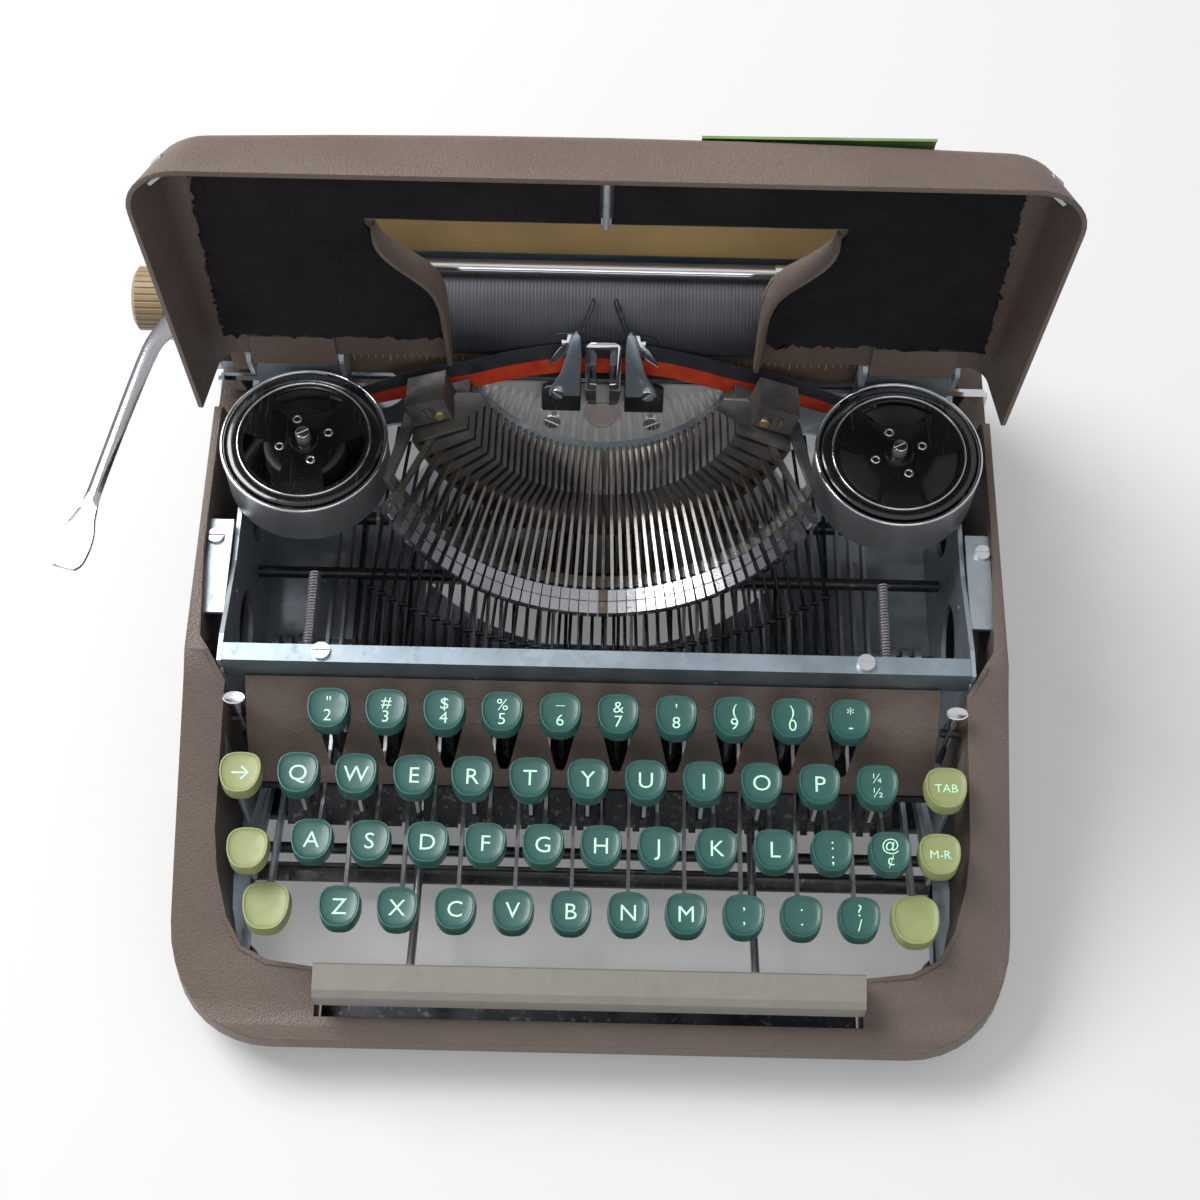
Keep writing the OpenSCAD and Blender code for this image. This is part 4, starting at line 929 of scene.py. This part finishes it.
cover = box("cover", (2 * COVER_HALF, COVER_LEN - COVER_BACK, COVER_DROP),
            closed(0, (COVER_BACK + COVER_LEN) / 2, COVER_DROP / 2))
with Editing(cover) as e:
    for front, low, half, run in (
            (True, True, 143.5, COVER_LEN), (True, False, 136.6, 108.4),
            (False, False, 129.7, COVER_BACK), (False, True, COVER_HALF, COVER_BACK)):
        e.pick("VERT", lambda m, v: (on_cover(m)[1] > 50) == front and (on_cover(m)[2] > 13) == low)
        e.resize(half / COVER_HALF, 1, closed(0, run, 0))
        if front:
            e.move(y=COVER_LEN - run)
    e.pick("EDGE", lambda m, edge: on_cover(m)[1] > 90 and 5 < on_cover(m)[2] < 20)
    e.bevel(18, 9)
    for x in (-110, -80, -40, 0, 40, 80, 110):
        e.bisect(at(x, 0, 0), (1, 0, 0))
    e.pick("EDGE", lambda m, edge: on_cover(m)[2] < 0.1 and on_cover(m)[1] > COVER_BACK + 1
           and edge.calc_face_angle(0) > 0.5)
    e.bevel(7.5, 6)
    for x, bow in ((0, 0), (40, 0.3), (80, 1.2), (110, 2.3), (130, 2.6)):
        e.pick("VERT", lambda m, v: on_cover(m)[1] > 92 and on_cover(m)[2] < 14 and (
            abs(abs(on_cover(m)[0]) - x) < 1 if x < 130 else abs(on_cover(m)[0]) > 112))
        e.move(y=bow)
    e.pick("FACE", lambda m, f: f.normal.z < -0.9 or f.normal.y > 0.9)
    bpy.ops.mesh.delete(type="FACE")
modify(cover, "SOLIDIFY", thickness=1.6 * MM, offset=-1)
cut_away(cover, plan_plate("cut", 20, mirrored_points([(51, -8)] + CUT_EDGE), 30, closed))
soften(cover, 0.5, 1.2)

# The turned-in flanges along the cut-out's two sides: across, forward, depth, lean out
FLANGE = [(72.6, 68, 2.6, 0), (71.4, 63.4, 6.4, 1.2), (68, 59, 8.4, 2), (63.5, 54.8, 9.4, 2),
          (58, 50, 9.8, 1.6), (54.6, 45.4, 9.6, 1), (52.6, 40, 9, 0.6), (51.6, 30, 8, 0.4),
          (51.3, 18, 7, 0.2), (51.1, 3.8, 6.6, 0)]
flanges = []
for side in (-1, 1):
    rows = [[closed(side * (x + 0.4 + lean * share ** 2), run + lean * 0.7 * share ** 2,
                    0.8 + deep * share) for x, run, deep, lean in FLANGE]
            for share in (0, 0.15, 0.4, 0.7, 1)]
    flange = sheet_through("flange", rows)
    modify(flange, "SUBSURF", levels=1, render_levels=1)
    modify(flange, "SOLIDIFY", thickness=1.4 * MM, offset=0)
    flanges.append(flange)
cover = raised(joined([cover] + flanges, "ribbon_cover_shell"))
fit(cover, "cover", paint, ["ribbon_cover"], angle=40)


# ---- felt lining

lining = primitive("grid", "felt_lining", x_subdivisions=150, y_subdivisions=58, size=1,
                   location=closed(0, 56, 2.1))
lining.scale = (256 * MM, 85 * MM, 1)
settle(lining)
felt_cut = mirrored_points([(54, -8)] + [(x + 3.2, run + 1.4) for x, run in CUT_EDGE])
rod_gap = [(-2.2, 71), (2.2, 71), (2.2, 110), (-2.2, 110)]
clouds = bpy.data.textures.new("felt_waves", "CLOUDS")
clouds.noise_scale = 0.02
modify(lining, "SOLIDIFY", thickness=1.2 * MM, offset=0)
for cut in (felt_cut, rod_gap):
    cut_away(lining, plan_plate("cut", 20, cut, 30, closed))
modify(lining, "DISPLACE", texture=clouds, strength=0.8 * MM, mid_level=0.5,
       texture_coords="GLOBAL")
with Editing(lining) as e:
    e.pick("VERT", lambda m, v: abs(on_cover(m)[0]) > 126.5 or not 14 < on_cover(m)[1] < 98)
    bpy.ops.transform.vertex_random(offset=1.6 * MM, uniform=0.0, normal=0.0, seed=4)
    for side in (-1, 1):
        e.pick("VERT", lambda m, v: on_cover(m)[0] * side > 119)
        e.move(x=-side * 0.4, z=-0.5)
fit(raised(lining), "cover", felt, ["cover_felt"], angle=60)

# ---- number plate

# The plate's side view, and half of each slot's plan below
PLATE_LINE = [(108, 78.8), (97.6, 68.2), (83.2, 50), (82.2, 49.6), (96.6, 69.2), (107.4, 80)]
plate = side_plate("number_plate_panel", -117, PLATE_LINE, 232)
for i in range(10):
    x = -87.7 + KEY_PITCH * i
    slot = mirrored_points([(1.2, 86.2), (2.2, 88.0), (5.7, 97.0), (5.9, 99.6), (5.2, 101.4),
                            (3.6, 102.4)])
    cutter = plan_plate("slot", 50, [(x + u, y) for u, y in slot], 32)
    with Editing(cutter) as e:
        e.pick("EDGE", lambda m, edge: abs(edge.verts[0].co.z - edge.verts[1].co.z) > 0.01
               and edge.calc_face_angle(0) > 0.2)
        e.bevel(0.6, 3)
    cut_away(plate, cutter)
soften(plate, 0.22)
PLATE_EAR = [(107, 78.1), (97.4, 68.4), (84, 51.2), (107, 58)]
ears = [side_plate("plate_ear", x, PLATE_EAR, 1.2) for x in (-116.9, 113.7)]
fit(joined([plate] + ears, "number_plate_panel"), "root", paint, ["number_plate"])

# ---- ribbon and spools

RIBBON_W = 12.7
# The ribbon's middle line from the vibrator to a spool cup
RIBBON_HALF = [(0, 216, 111.6), (9, 216, 111.6), (18, 215.7, 111), (32, 215.1, 107.6),
               (47, 214, 102.8), (60, 213.7, 99.4), (72, 211.6, 97.4), (85.2, 207.5, 96.4)]
for side, word in SIDES:
    rows = [[], [], [], [], []]
    for x, y, z in curve_through(RIBBON_HALF, 7):
        lean = PAPER_LEAN * min(1, max(0, 4 - x / 20))
        for k, row in enumerate(rows):
            up = (k - 2) / 4 * RIBBON_W
            row.append(at(side * x, y + up * sin(lean), z + up * cos(lean)))
    length = sum((a - b).length for a, b in zip(rows[2], rows[2][1:]))
    half = sheet_through(word + "_ribbon_run", rows)
    for corner in half.data.uv_layers[0].data:
        corner.uv.x *= length
    modify(half, "SOLIDIFY", thickness=0.16 * MM, offset=0)
    settle(half)
    smooth(half, 60)
    half.data.materials.append(ribbon_cloth)
    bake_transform(half)
    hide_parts("ribbon")

wound = rubber("wound_ribbon", (0.012, 0.012, 0.015))
SPOOL_X, SPOOL_Y, SPOOL_Z = 101.5, 186, 87
SPOOL_OUTLINE = [(2.6, 0), (26.4, 0), (26.4, 0.8), (8.2, 0.8), (7.8, 15.1), (22.6, 15.1),
                 (23.2, 15.6), (25.2, 15.7), (25.8, 15.2), (26.4, 15.3), (26.4, 16),
                 (25.8, 16.4), (22.8, 16.3), (22.2, 15.9), (5.2, 15.9), (4.6, 16.8), (2.6, 16.8)]
# One window of a spool's flange: radius and angle
SPOOL_WINDOW = [(20.6, -0.64), (20.9, -0.5), (20.9, 0.5), (20.6, 0.64), (12.4, 0.5), (11.4, 0.3),
                (11.4, -0.3), (12.4, -0.5)]
for (side, word), body, wound_r in zip(SIDES, ("supply_spool", "take_up_spool"), (14, 21)):
    centre = at(side * SPOOL_X, SPOOL_Y, SPOOL_Z)
    spool = turned(word + "_spool_body", SPOOL_OUTLINE, centre, 72)
    for turn in (pi / 2, pi * 7 / 6, pi * 11 / 6):
        arc = []
        for (r0, a0), (r1, a1) in zip(SPOOL_WINDOW, SPOOL_WINDOW[1:] + SPOOL_WINDOW[:1]):
            arc += [(r0 + (r1 - r0) * i / 5, a0 + (a1 - a0) * i / 5) for i in range(5)]
        cut_away(spool, outline_plate("window", [
            centre + Vector((r * cos(a + turn), r * sin(a + turn), 14)) * MM
            for r, a in arc], (0, 0, 4)))
    fit(spool, body, black_gloss, [word + "_spool"], angle=40)
    # The nickel ring on the flange's ridge is a painted highlight on the black ridge; the small
    # hoops are its eyelets.
    bright = [hoop("ring", centre + Vector((0, 0, 16.35)) * MM, 22.6, 0.42)]
    for k in range(4):
        turn = k * pi / 2 + 0.35
        bright.append(hoop("eyelet", centre + Vector((
            8.6 * cos(turn), 8.6 * sin(turn), 15.9)) * MM, 1.3, 0.42, around=20, sides=8))
    fit(joined(bright, word + "_spool_ring_highlight_and_eyelets"), body, nickel, angle=60)
    pack = turned(word + "_wound_ribbon", [
        (8.3, 1.1), (wound_r, 1.1), (wound_r + 0.3, 4), (wound_r, 13.8), (wound_r - 1, 14.5),
        (wound_r - 2.2, 14.2), (9.2, 14.4), (8.3, 14.2)], centre)
    fit(pack, body, wound, angle=50)
    screw(word + "_spool_screw", at(side * SPOOL_X, SPOOL_Y, 107.1), 2.4, 1.2, 0.5, "root")
    cup_rim = at(side * SPOOL_X, SPOOL_Y, 102.5)
    lip = hoop(word + "_cup_lip", cup_rim, 28.1, 0.55, around=96)
    gap = radians(118) if side > 0 else radians(62)
    with Editing(lip) as e:
        e.pick("VERT", lambda m, v: (m - cup_rim).normalized().dot(
            Vector((cos(gap), sin(gap), 0))) > 0.96)
        bpy.ops.mesh.delete(type="VERT")
    fit(lip, "root", chrome, angle=60)

# ---- line space lever

# Across, back, half width and height along the lever, from its pivot
LEVER_SPINE = [(0, 0, 4.4, 0), (-4.4, -6.4, 3.9, 0.3), (-8.6, -15, 3.2, 0.6), (-13.6, -38, 2.8, 1),
               (-17.6, -58, 2.6, 0.8), (-20.8, -74, 2.7, 0.2), (-22.6, -80, 3.8, -0.4),
               (-24, -85.4, 5.6, -1.2), (-25.4, -91, 6.15, -1.8), (-26.4, -96, 5.4, -2.4),
               (-26.9, -98.2, 3.4, -2.8)]
LEVER_X, LEVER_Y = CARRIAGE_X - 130.9, 222.8
path = curve_through([(x, y, 0) for x, y, r, z in LEVER_SPINE], 4)
width = curve_through([(r, z, 0) for x, y, r, z in LEVER_SPINE], 4)
rows = []
for share in (-1, -0.92, -0.6, 0, 0.6, 0.92, 1):
    row = []
    for i, p in enumerate(path):
        ahead = (path[min(i + 1, len(path) - 1)] - path[max(i - 1, 0)]).normalized()
        side = Vector((-ahead.y, ahead.x, 0))
        r, z = width[i][0], width[i][1]
        crown = (0.9 if i < len(path) - 20 else -0.3) * (1 - share * share)
        place = p + side * r * share
        row.append(at(LEVER_X + place.x, LEVER_Y + place.y, 122.4 + z * 0.5 + crown))
    rows.append(row)
blade = sheet_through("line_space_blade", rows)
modify(blade, "SOLIDIFY", thickness=1.3 * MM, offset=-1)
soften(blade, 0.3, 1.0, 3)
hub = turned("line_space_hub", [(2.08, 0), (4.4, 0), (4.6, 0.3), (4.6, 3.8), (4.2, 4.2), (4.2, 6.6),
                                (3.8, 7), (2.08, 7)], at(LEVER_X, LEVER_Y, 117.2), 40)
fit(joined([blade, hub], "line_space_lever"), "line_space", lever_chrome,
    ["return_lever"], angle=40)
screw("line_space_screw", at(LEVER_X, LEVER_Y, 126.9), 3.1, 1.6, 0.9, "carriage")

# ---- base pan, and a black ledge that stands for the shade under the space bar

pan_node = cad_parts["base_pan"]
pan = copied(pan_node, "base_pan_open", pan_node.location)
with Editing(pan):
    bpy.ops.mesh.remove_doubles(threshold=0.000002)
cut_away(pan, box("tab", (34, 39.8, 16), at(0, 40, 17)))
fit(pan, "root", zinc, ["base_pan"], angle=30)
pan.data.materials.append(shaft_steel)
for face in pan.data.polygons:
    face.material_index = int(57 < drawn(face.center)[1] < 67 and drawn(face.center)[2] > 12)
apron = side_plate("front_apron", -117.4, [
    (84, 10.15), (132, 10.15), (132, 11.2), (84.8, 11.2), (84.8, 15), (84, 15)], 234.8)
soften(apron, 0.25)
fit(apron, "root", black_oxide, angle=30)
# A black ledge and tab below the space bar: their black stands in for the shade in that gap, a
# painted shade.
ledge = side_plate("bar_gap_shade_ledge", -91, [
    (9.4, 21), (9.4, 13.4), (23.4, 13.4), (23.4, 12.6), (8.6, 12.6), (8.6, 21)], 182)
soften(ledge, 0.2)
front_tab = plan_plate("front_tab", 13.5, [(-17, 23.4), (-13, 27.2), (9, 27.2), (13, 23.4)], 1.2)
fit(joined([ledge, front_tab], "space_bar_gap_shade"), "root", black_oxide, angle=30)

# ---- card holders and type basket


def leaning_plate(name, outline, z, thick, edge=0.2):
    """A plate that faces the typist as the paper does, with its edges softened."""
    plate = outline_plate(name, [struck(x, y, z) for x, y in outline],
                          (0, -thick * LEAN_C, thick * LEAN_S))
    soften(plate, edge)
    return plate


def wire(name, points, r):
    """A round wire on a smooth curve through the points."""
    only()
    bpy.ops.curve.primitive_nurbs_path_add(location=(0, 0, 0))
    line = bpy.context.object
    line.data.splines.clear()
    way = curve_through(points, 5)
    spline = line.data.splines.new("POLY")
    spline.points.add(len(way) - 1)
    for point, place in zip(spline.points, way):
        point.co = (*place, 1)
    line.data.bevel_depth, line.data.bevel_resolution, line.data.use_fill_caps = r * MM, 2, True
    return converted(name)


def mirror_x(outline, side):
    return [(side * x, y) for x, y in (outline if side > 0 else reversed(outline))]


FIN = [(7.9, -21.5), (18.8, -21.5), (18.2, -18.5), (14.6, -11.5), (12.4, -2), (10.6, 5.2),
       (9.2, 7.4), (7.9, 5.2), (7.5, -3)]
FIN_BLOCK = [(7.6, -29.6), (21.2, -29.6), (21.2, -20), (19, -18.4), (7.6, -18.4)]
EAR = [(8.7, -9), (11.2, -8.2), (12.6, -4.2), (14.6, -7.2), (19.2, -10.2), (18.4, -8),
       (15.4, -2.6), (14.2, -1.2), (14.4, 1.4), (12.6, 1.2), (12.2, 4.2), (9.2, 4.4), (9.6, 1),
       (8.6, -1)]
HAIRPIN = [(8.6, 3.6, 3.4), (8.4, 5.6, 2.8), (6.6, 9, -0.4), (4.9, 12.2, -3.6), (4.1, 13.5, -4.9),
           (3.4, 13.3, -4.8), (3.5, 12.2, -3.9), (5.4, 8.6, -0.4), (7.2, 5.2, 2.6),
           (7.8, 3.4, 3.4)]
GUIDE_WIRE = [(9.4, 6.2, 4.2), (12, 5.6, 3.9), (15, 5, 3.5), (17.6, 3.6, 3.3), (18.8, 1.4, 3.3)]
fin_steel = plated("polished_blue_steel", (0.42, 0.48, 0.55), 0.14, 0.08, 0.12, bare=0.7)
fins, blocks, ears, hairpins = [], [], [], []
for side in (-1, 1):
    fins.append(leaning_plate("fin", mirror_x(FIN, side), 4.0, 1.0, 0.3))
    blocks.append(leaning_plate("fin_block", mirror_x(FIN_BLOCK, side), 0.6, 3.2, 0.5))
    ears.append(leaning_plate("ear", mirror_x(EAR, side), 1.8, 0.5, 0.15))
    for way, r in ((HAIRPIN, 0.3), (GUIDE_WIRE, 0.28)):
        hairpins.append(wire("hairpin", [struck(side * x, y, z) for x, y, z in way], r))
fit(joined(fins, "card_fins"), "root", fin_steel, ["card_holders"], angle=40)
fit(joined(blocks, "card_fin_blocks"), "root", shaft_steel, angle=40)
fit(joined(hairpins, "card_hairpins"), "root", black_oxide, angle=60)
LEAN_BACK = (pi / 2 - PAPER_LEAN, 0, 0)
for side, word in SIDES:
    screw(word + "_fin_screw", struck(side * 15.6, -20.2, 5.4), 2.3, 1.0, 0.7 * side, "root",
          rotation=LEAN_BACK)

# Open at its foot, so that a typebar can pass between its two legs
LOOP = [(6.1, -18.8), (6.1, 0.4), (5.4, 1.9), (4, 2.6), (-4, 2.6), (-5.4, 1.9), (-6.1, 0.4),
        (-6.1, -18.8), (-2.2, -18.8), (-2.2, -15.6), (-4.4, -15.6), (-4.4, -1.2), (-3.6, -0.2),
        (3.6, -0.2), (4.4, -1.2), (4.4, -15.6), (2.2, -15.6), (2.2, -18.8)]
loop = leaning_plate("loop", LOOP, 4.3, 0.8)
TONGUE = [(2.25, -18.7), (2.9, -18.7), (2.9, -17.6), (2.25, -17.6)]
tongues = [leaning_plate("tongue", mirror_x(TONGUE, side), 0.05, 4.4, 0.1) for side in (-1, 1)]
fit(joined(ears + tongues + [loop], "ribbon_vibrator_loop"), "vibrator", chrome, angle=40)

# The fluted half-moon plate: radial flutes that fade towards its straight upper edge
FLUTES = 26
rows = []
for k in range(15):
    share = k / 14
    row = []
    for i in range(8 * FLUTES + 1):
        u = 2 * i / (8 * FLUTES) - 1
        arc = radians(64 * u)
        upper = (42.6 * u, -22.2 if abs(u) < 0.2 else -21.4)
        x = upper[0] + (48.9 * sin(arc) - upper[0]) * share
        y = upper[1] + (-48.9 * cos(arc) - upper[1]) * share
        swell = max(0, sin(pi * (share - 0.25) / 0.75)) if share > 0.25 else 0
        row.append(struck(x, y, -2.2 + 0.9 * swell * cos(FLUTES * pi * (u + 1))))
    rows.append(row)
fluted = sheet_through("segment_fluted_plate", rows)
modify(fluted, "SOLIDIFY", thickness=0.9 * MM, offset=0)
fluted_silver = plated("fluted_silver", (0.82, 0.82, 0.83), 0.26, 0.1, 0.15, bare=0.45)
fit(fluted, "basket", fluted_silver, ["segment_plate"], angle=60)
badge = turned("bare_badge", [(0.02, 0), (5.6, 0), (5.6, 0.7), (5.2, 1), (4.7, 1), (4.4, 0.7),
                              (0.02, 0.85)], Vector())
badge.rotation_euler = LEAN_BACK
badge.location = struck(0, -35.4, -1.4)
fit(badge, "basket", satin_enamel("bare_badge_enamel", (0.42, 0.36, 0.34)), angle=40)
for side, word in SIDES:
    screw(word + "_plate_screw", struck(side * 17.6, -38.4, -0.6), 3.0, 1.2, 0.5 * side, "basket",
          rotation=LEAN_BACK)
    end = leaning_plate(word + "_segment_end_plate", mirror_x([
        (50.3, -20.6), (50.3, -8.6), (49.4, -7.6), (41, -7.6), (38.4, -12.2), (49.6, -21)], side),
        19.3, 1.4, 0.35)
    fit(end, "basket", segment_steel, angle=40)
    screw(word + "_segment_end_screw", struck(side * 55.4, -19, 19.5), 1.8, 1.0, 0.9, "basket",
          brass, LEAN_BACK)

# ---- side levers and cover plate

SIDE_LEVER = [(97, 60), (97.8, 57.6), (102.2, 57.6), (103, 60), (102, 66), (98.6, 84.8),
              (95, 84.8), (97, 66)]
for name, x, body, node_name in (
        ("colour_lever_blade", 118.2, "colour_lever", "ribbon_colour_lever"),
        ("touch_lever_blade", -119.6, "touch", "touch_lever")):
    arm = side_plate(name, x, SIDE_LEVER, 1.4)
    soften(arm, 0.25, 0.5)
    oval = turned("oval", [(0.02, 0), (3.4, 0), (3.8, 0.5), (3.4, 1), (1.6, 0.75), (0.02, 0.7)],
                  Vector(), 48)
    oval.scale = (1, 0.6, 1)
    oval.location = at(x + 0.7, 96.6, 84.7)
    fit(joined([arm, oval], name), body, nickel, [node_name], angle=35)

rows = []
for run, depth in [(95.4, 0.35), (95.6, -0.5), (101.4, -0.8)] + [
        (101.4 + 8.3 * sin(radians(a)), 7.5 - 8.3 * cos(radians(a)))
        for a in (12, 24, 36, 46)]:
    rows.append([closed(x, run + 0.012 * (x - 28), depth)
                 for x in (28, 28.4, 40, 55, 70, 85, 97.6, 98)])
bare_plate = sheet_through("bare_cover_plate", rows)
modify(bare_plate, "SOLIDIFY", thickness=0.8 * MM, offset=0)
fit(raised(bare_plate), "cover", enamel("green_plate_enamel", (0.17, 0.27, 0.095), 0.25),
    angle=40)

# The deflector takes the darker copy of the zinc, a painted shade.
deflector = sheet_through("paper_deflector", [
    [at(CARRIAGE_X + x, y, z) for x in (-112, -111.6, -80, -40, 0, 40, 80, 111.6, 112)]
    for y, z in ((249.9, 127.6), (250.2, 127.2), (251.4, 122), (252.1, 116), (252.1, 110),
                 (251.6, 109.6))])
modify(deflector, "SOLIDIFY", thickness=0.5 * MM, offset=0)
fit(deflector, "carriage", shade_darkened_zinc, angle=50)

# ---- printed scales

TENTH_INCH = 2.54
marks = []
for i in range(89):
    wide, tall = (0.42, 3.6) if i % 5 == 0 else (0.3, 2.2)
    marks.append(box("tick", (wide, 0.12, tall), at(
        CARRIAGE_X - 111.8 + TENTH_INCH * i, 222.053 - 0.0275 * tall, 102.4 - tall / 2)))
cream = moulded("cream_print", (0.62, 0.55, 0.40), 0.4, 0.0)
fit(joined(marks, "carriage_scale_ticks"), "carriage", cream, angle=0)

# ---- camera, floor and light

CAMERA_PLACE = at(0.7, -201.6, 720)
CAMERA_DOWN = Vector((0, 0.4695, -0.8829))
CAMERA_ROLL = radians(1.29)
camera_data = bpy.data.cameras.new("camera")
camera_data.sensor_width = 36
camera_data.lens = 63.93
camera_data.clip_start, camera_data.clip_end = 0.01, 30
camera = linked(bpy.data.objects.new("camera", camera_data))
turn = CAMERA_DOWN.to_track_quat("-Z", "Y").to_matrix().to_4x4()
camera.matrix_world = Matrix.Translation(CAMERA_PLACE) @ turn @ Matrix.Rotation(CAMERA_ROLL, 4, "Z")
bpy.context.scene.camera = camera

floor = primitive("plane", "floor", size=9)
f = Finish("white_floor", Roughness=0.9, Specular_IOR_Level=0.0, Emission_Strength=1.0)
f.colour((0.575, 0.575, 0.575))
seen = sum(f.node("LightPath", f"Is {kind} Ray") for kind in ("Camera", "Glossy", "Transmission"))
glow = f.mix(f.band(seen, 0, 1), (0.0, 0.0, 0.0), (0.18, 0.18, 0.18))
f.plug(f.skin.inputs["Emission Color"], glow)
grain = f.spots(300)
f.rough(f.spread(grain, 0.86, 0.94))
floor.data.materials.append(f.material)

# The studio: white to the camera, and for the object paler above than below
world = bpy.data.worlds.new("studio")
scene = bpy.context.scene
scene.world = world
world.use_nodes = True
sky = Nodes(world.node_tree)
# Height of the direction from straight down to straight up, and the level there
SKY_LEVELS = ((0.0, 0.24), (0.46, 0.08), (0.54, 0.16), (0.72, 0.42), (1.0, 0.66))
up = sky.node("SeparateXYZ", "Z", {0: sky.node("TexCoord", "Generated")})
height = sky.node("MapRange", "Result", {"Value": up, "From Min": -1})
level = sky.node("ValToRGB", "Color", {"Fac": height}, [
    (where, (v, v, v * 1.01)) for where, v in SKY_LEVELS])
background = sky.tree.nodes["Background"]
sky.plug(background.inputs["Color"],
         sky.mix(sky.node("LightPath", "Is Camera Ray"), level, (1, 1, 1)))
background.inputs["Strength"].default_value = 1.0


MACHINE_MIDDLE = Vector((0, 0, 0.05))


def softbox(name, place, size, watts):
    """A rectangular lamp that looks at the machine."""
    lamp = bpy.data.lights.new(name, "AREA")
    lamp.shape, lamp.size, lamp.size_y, lamp.energy = "RECTANGLE", size[0], size[1], watts
    made = linked(bpy.data.objects.new(name, lamp))
    made.matrix_world = Matrix.Translation(Vector(place)) @ (
        (MACHINE_MIDDLE - Vector(place)).to_track_quat("-Z", "Y").to_matrix().to_4x4())


softbox("key_light", (-0.84, 0.46, 1.32), (0.9, 0.9), 29)
softbox("front_light", (0.30, -1.2, 1.1), (1.1, 0.35), 2.4)

scene.view_settings.view_transform = "Standard"
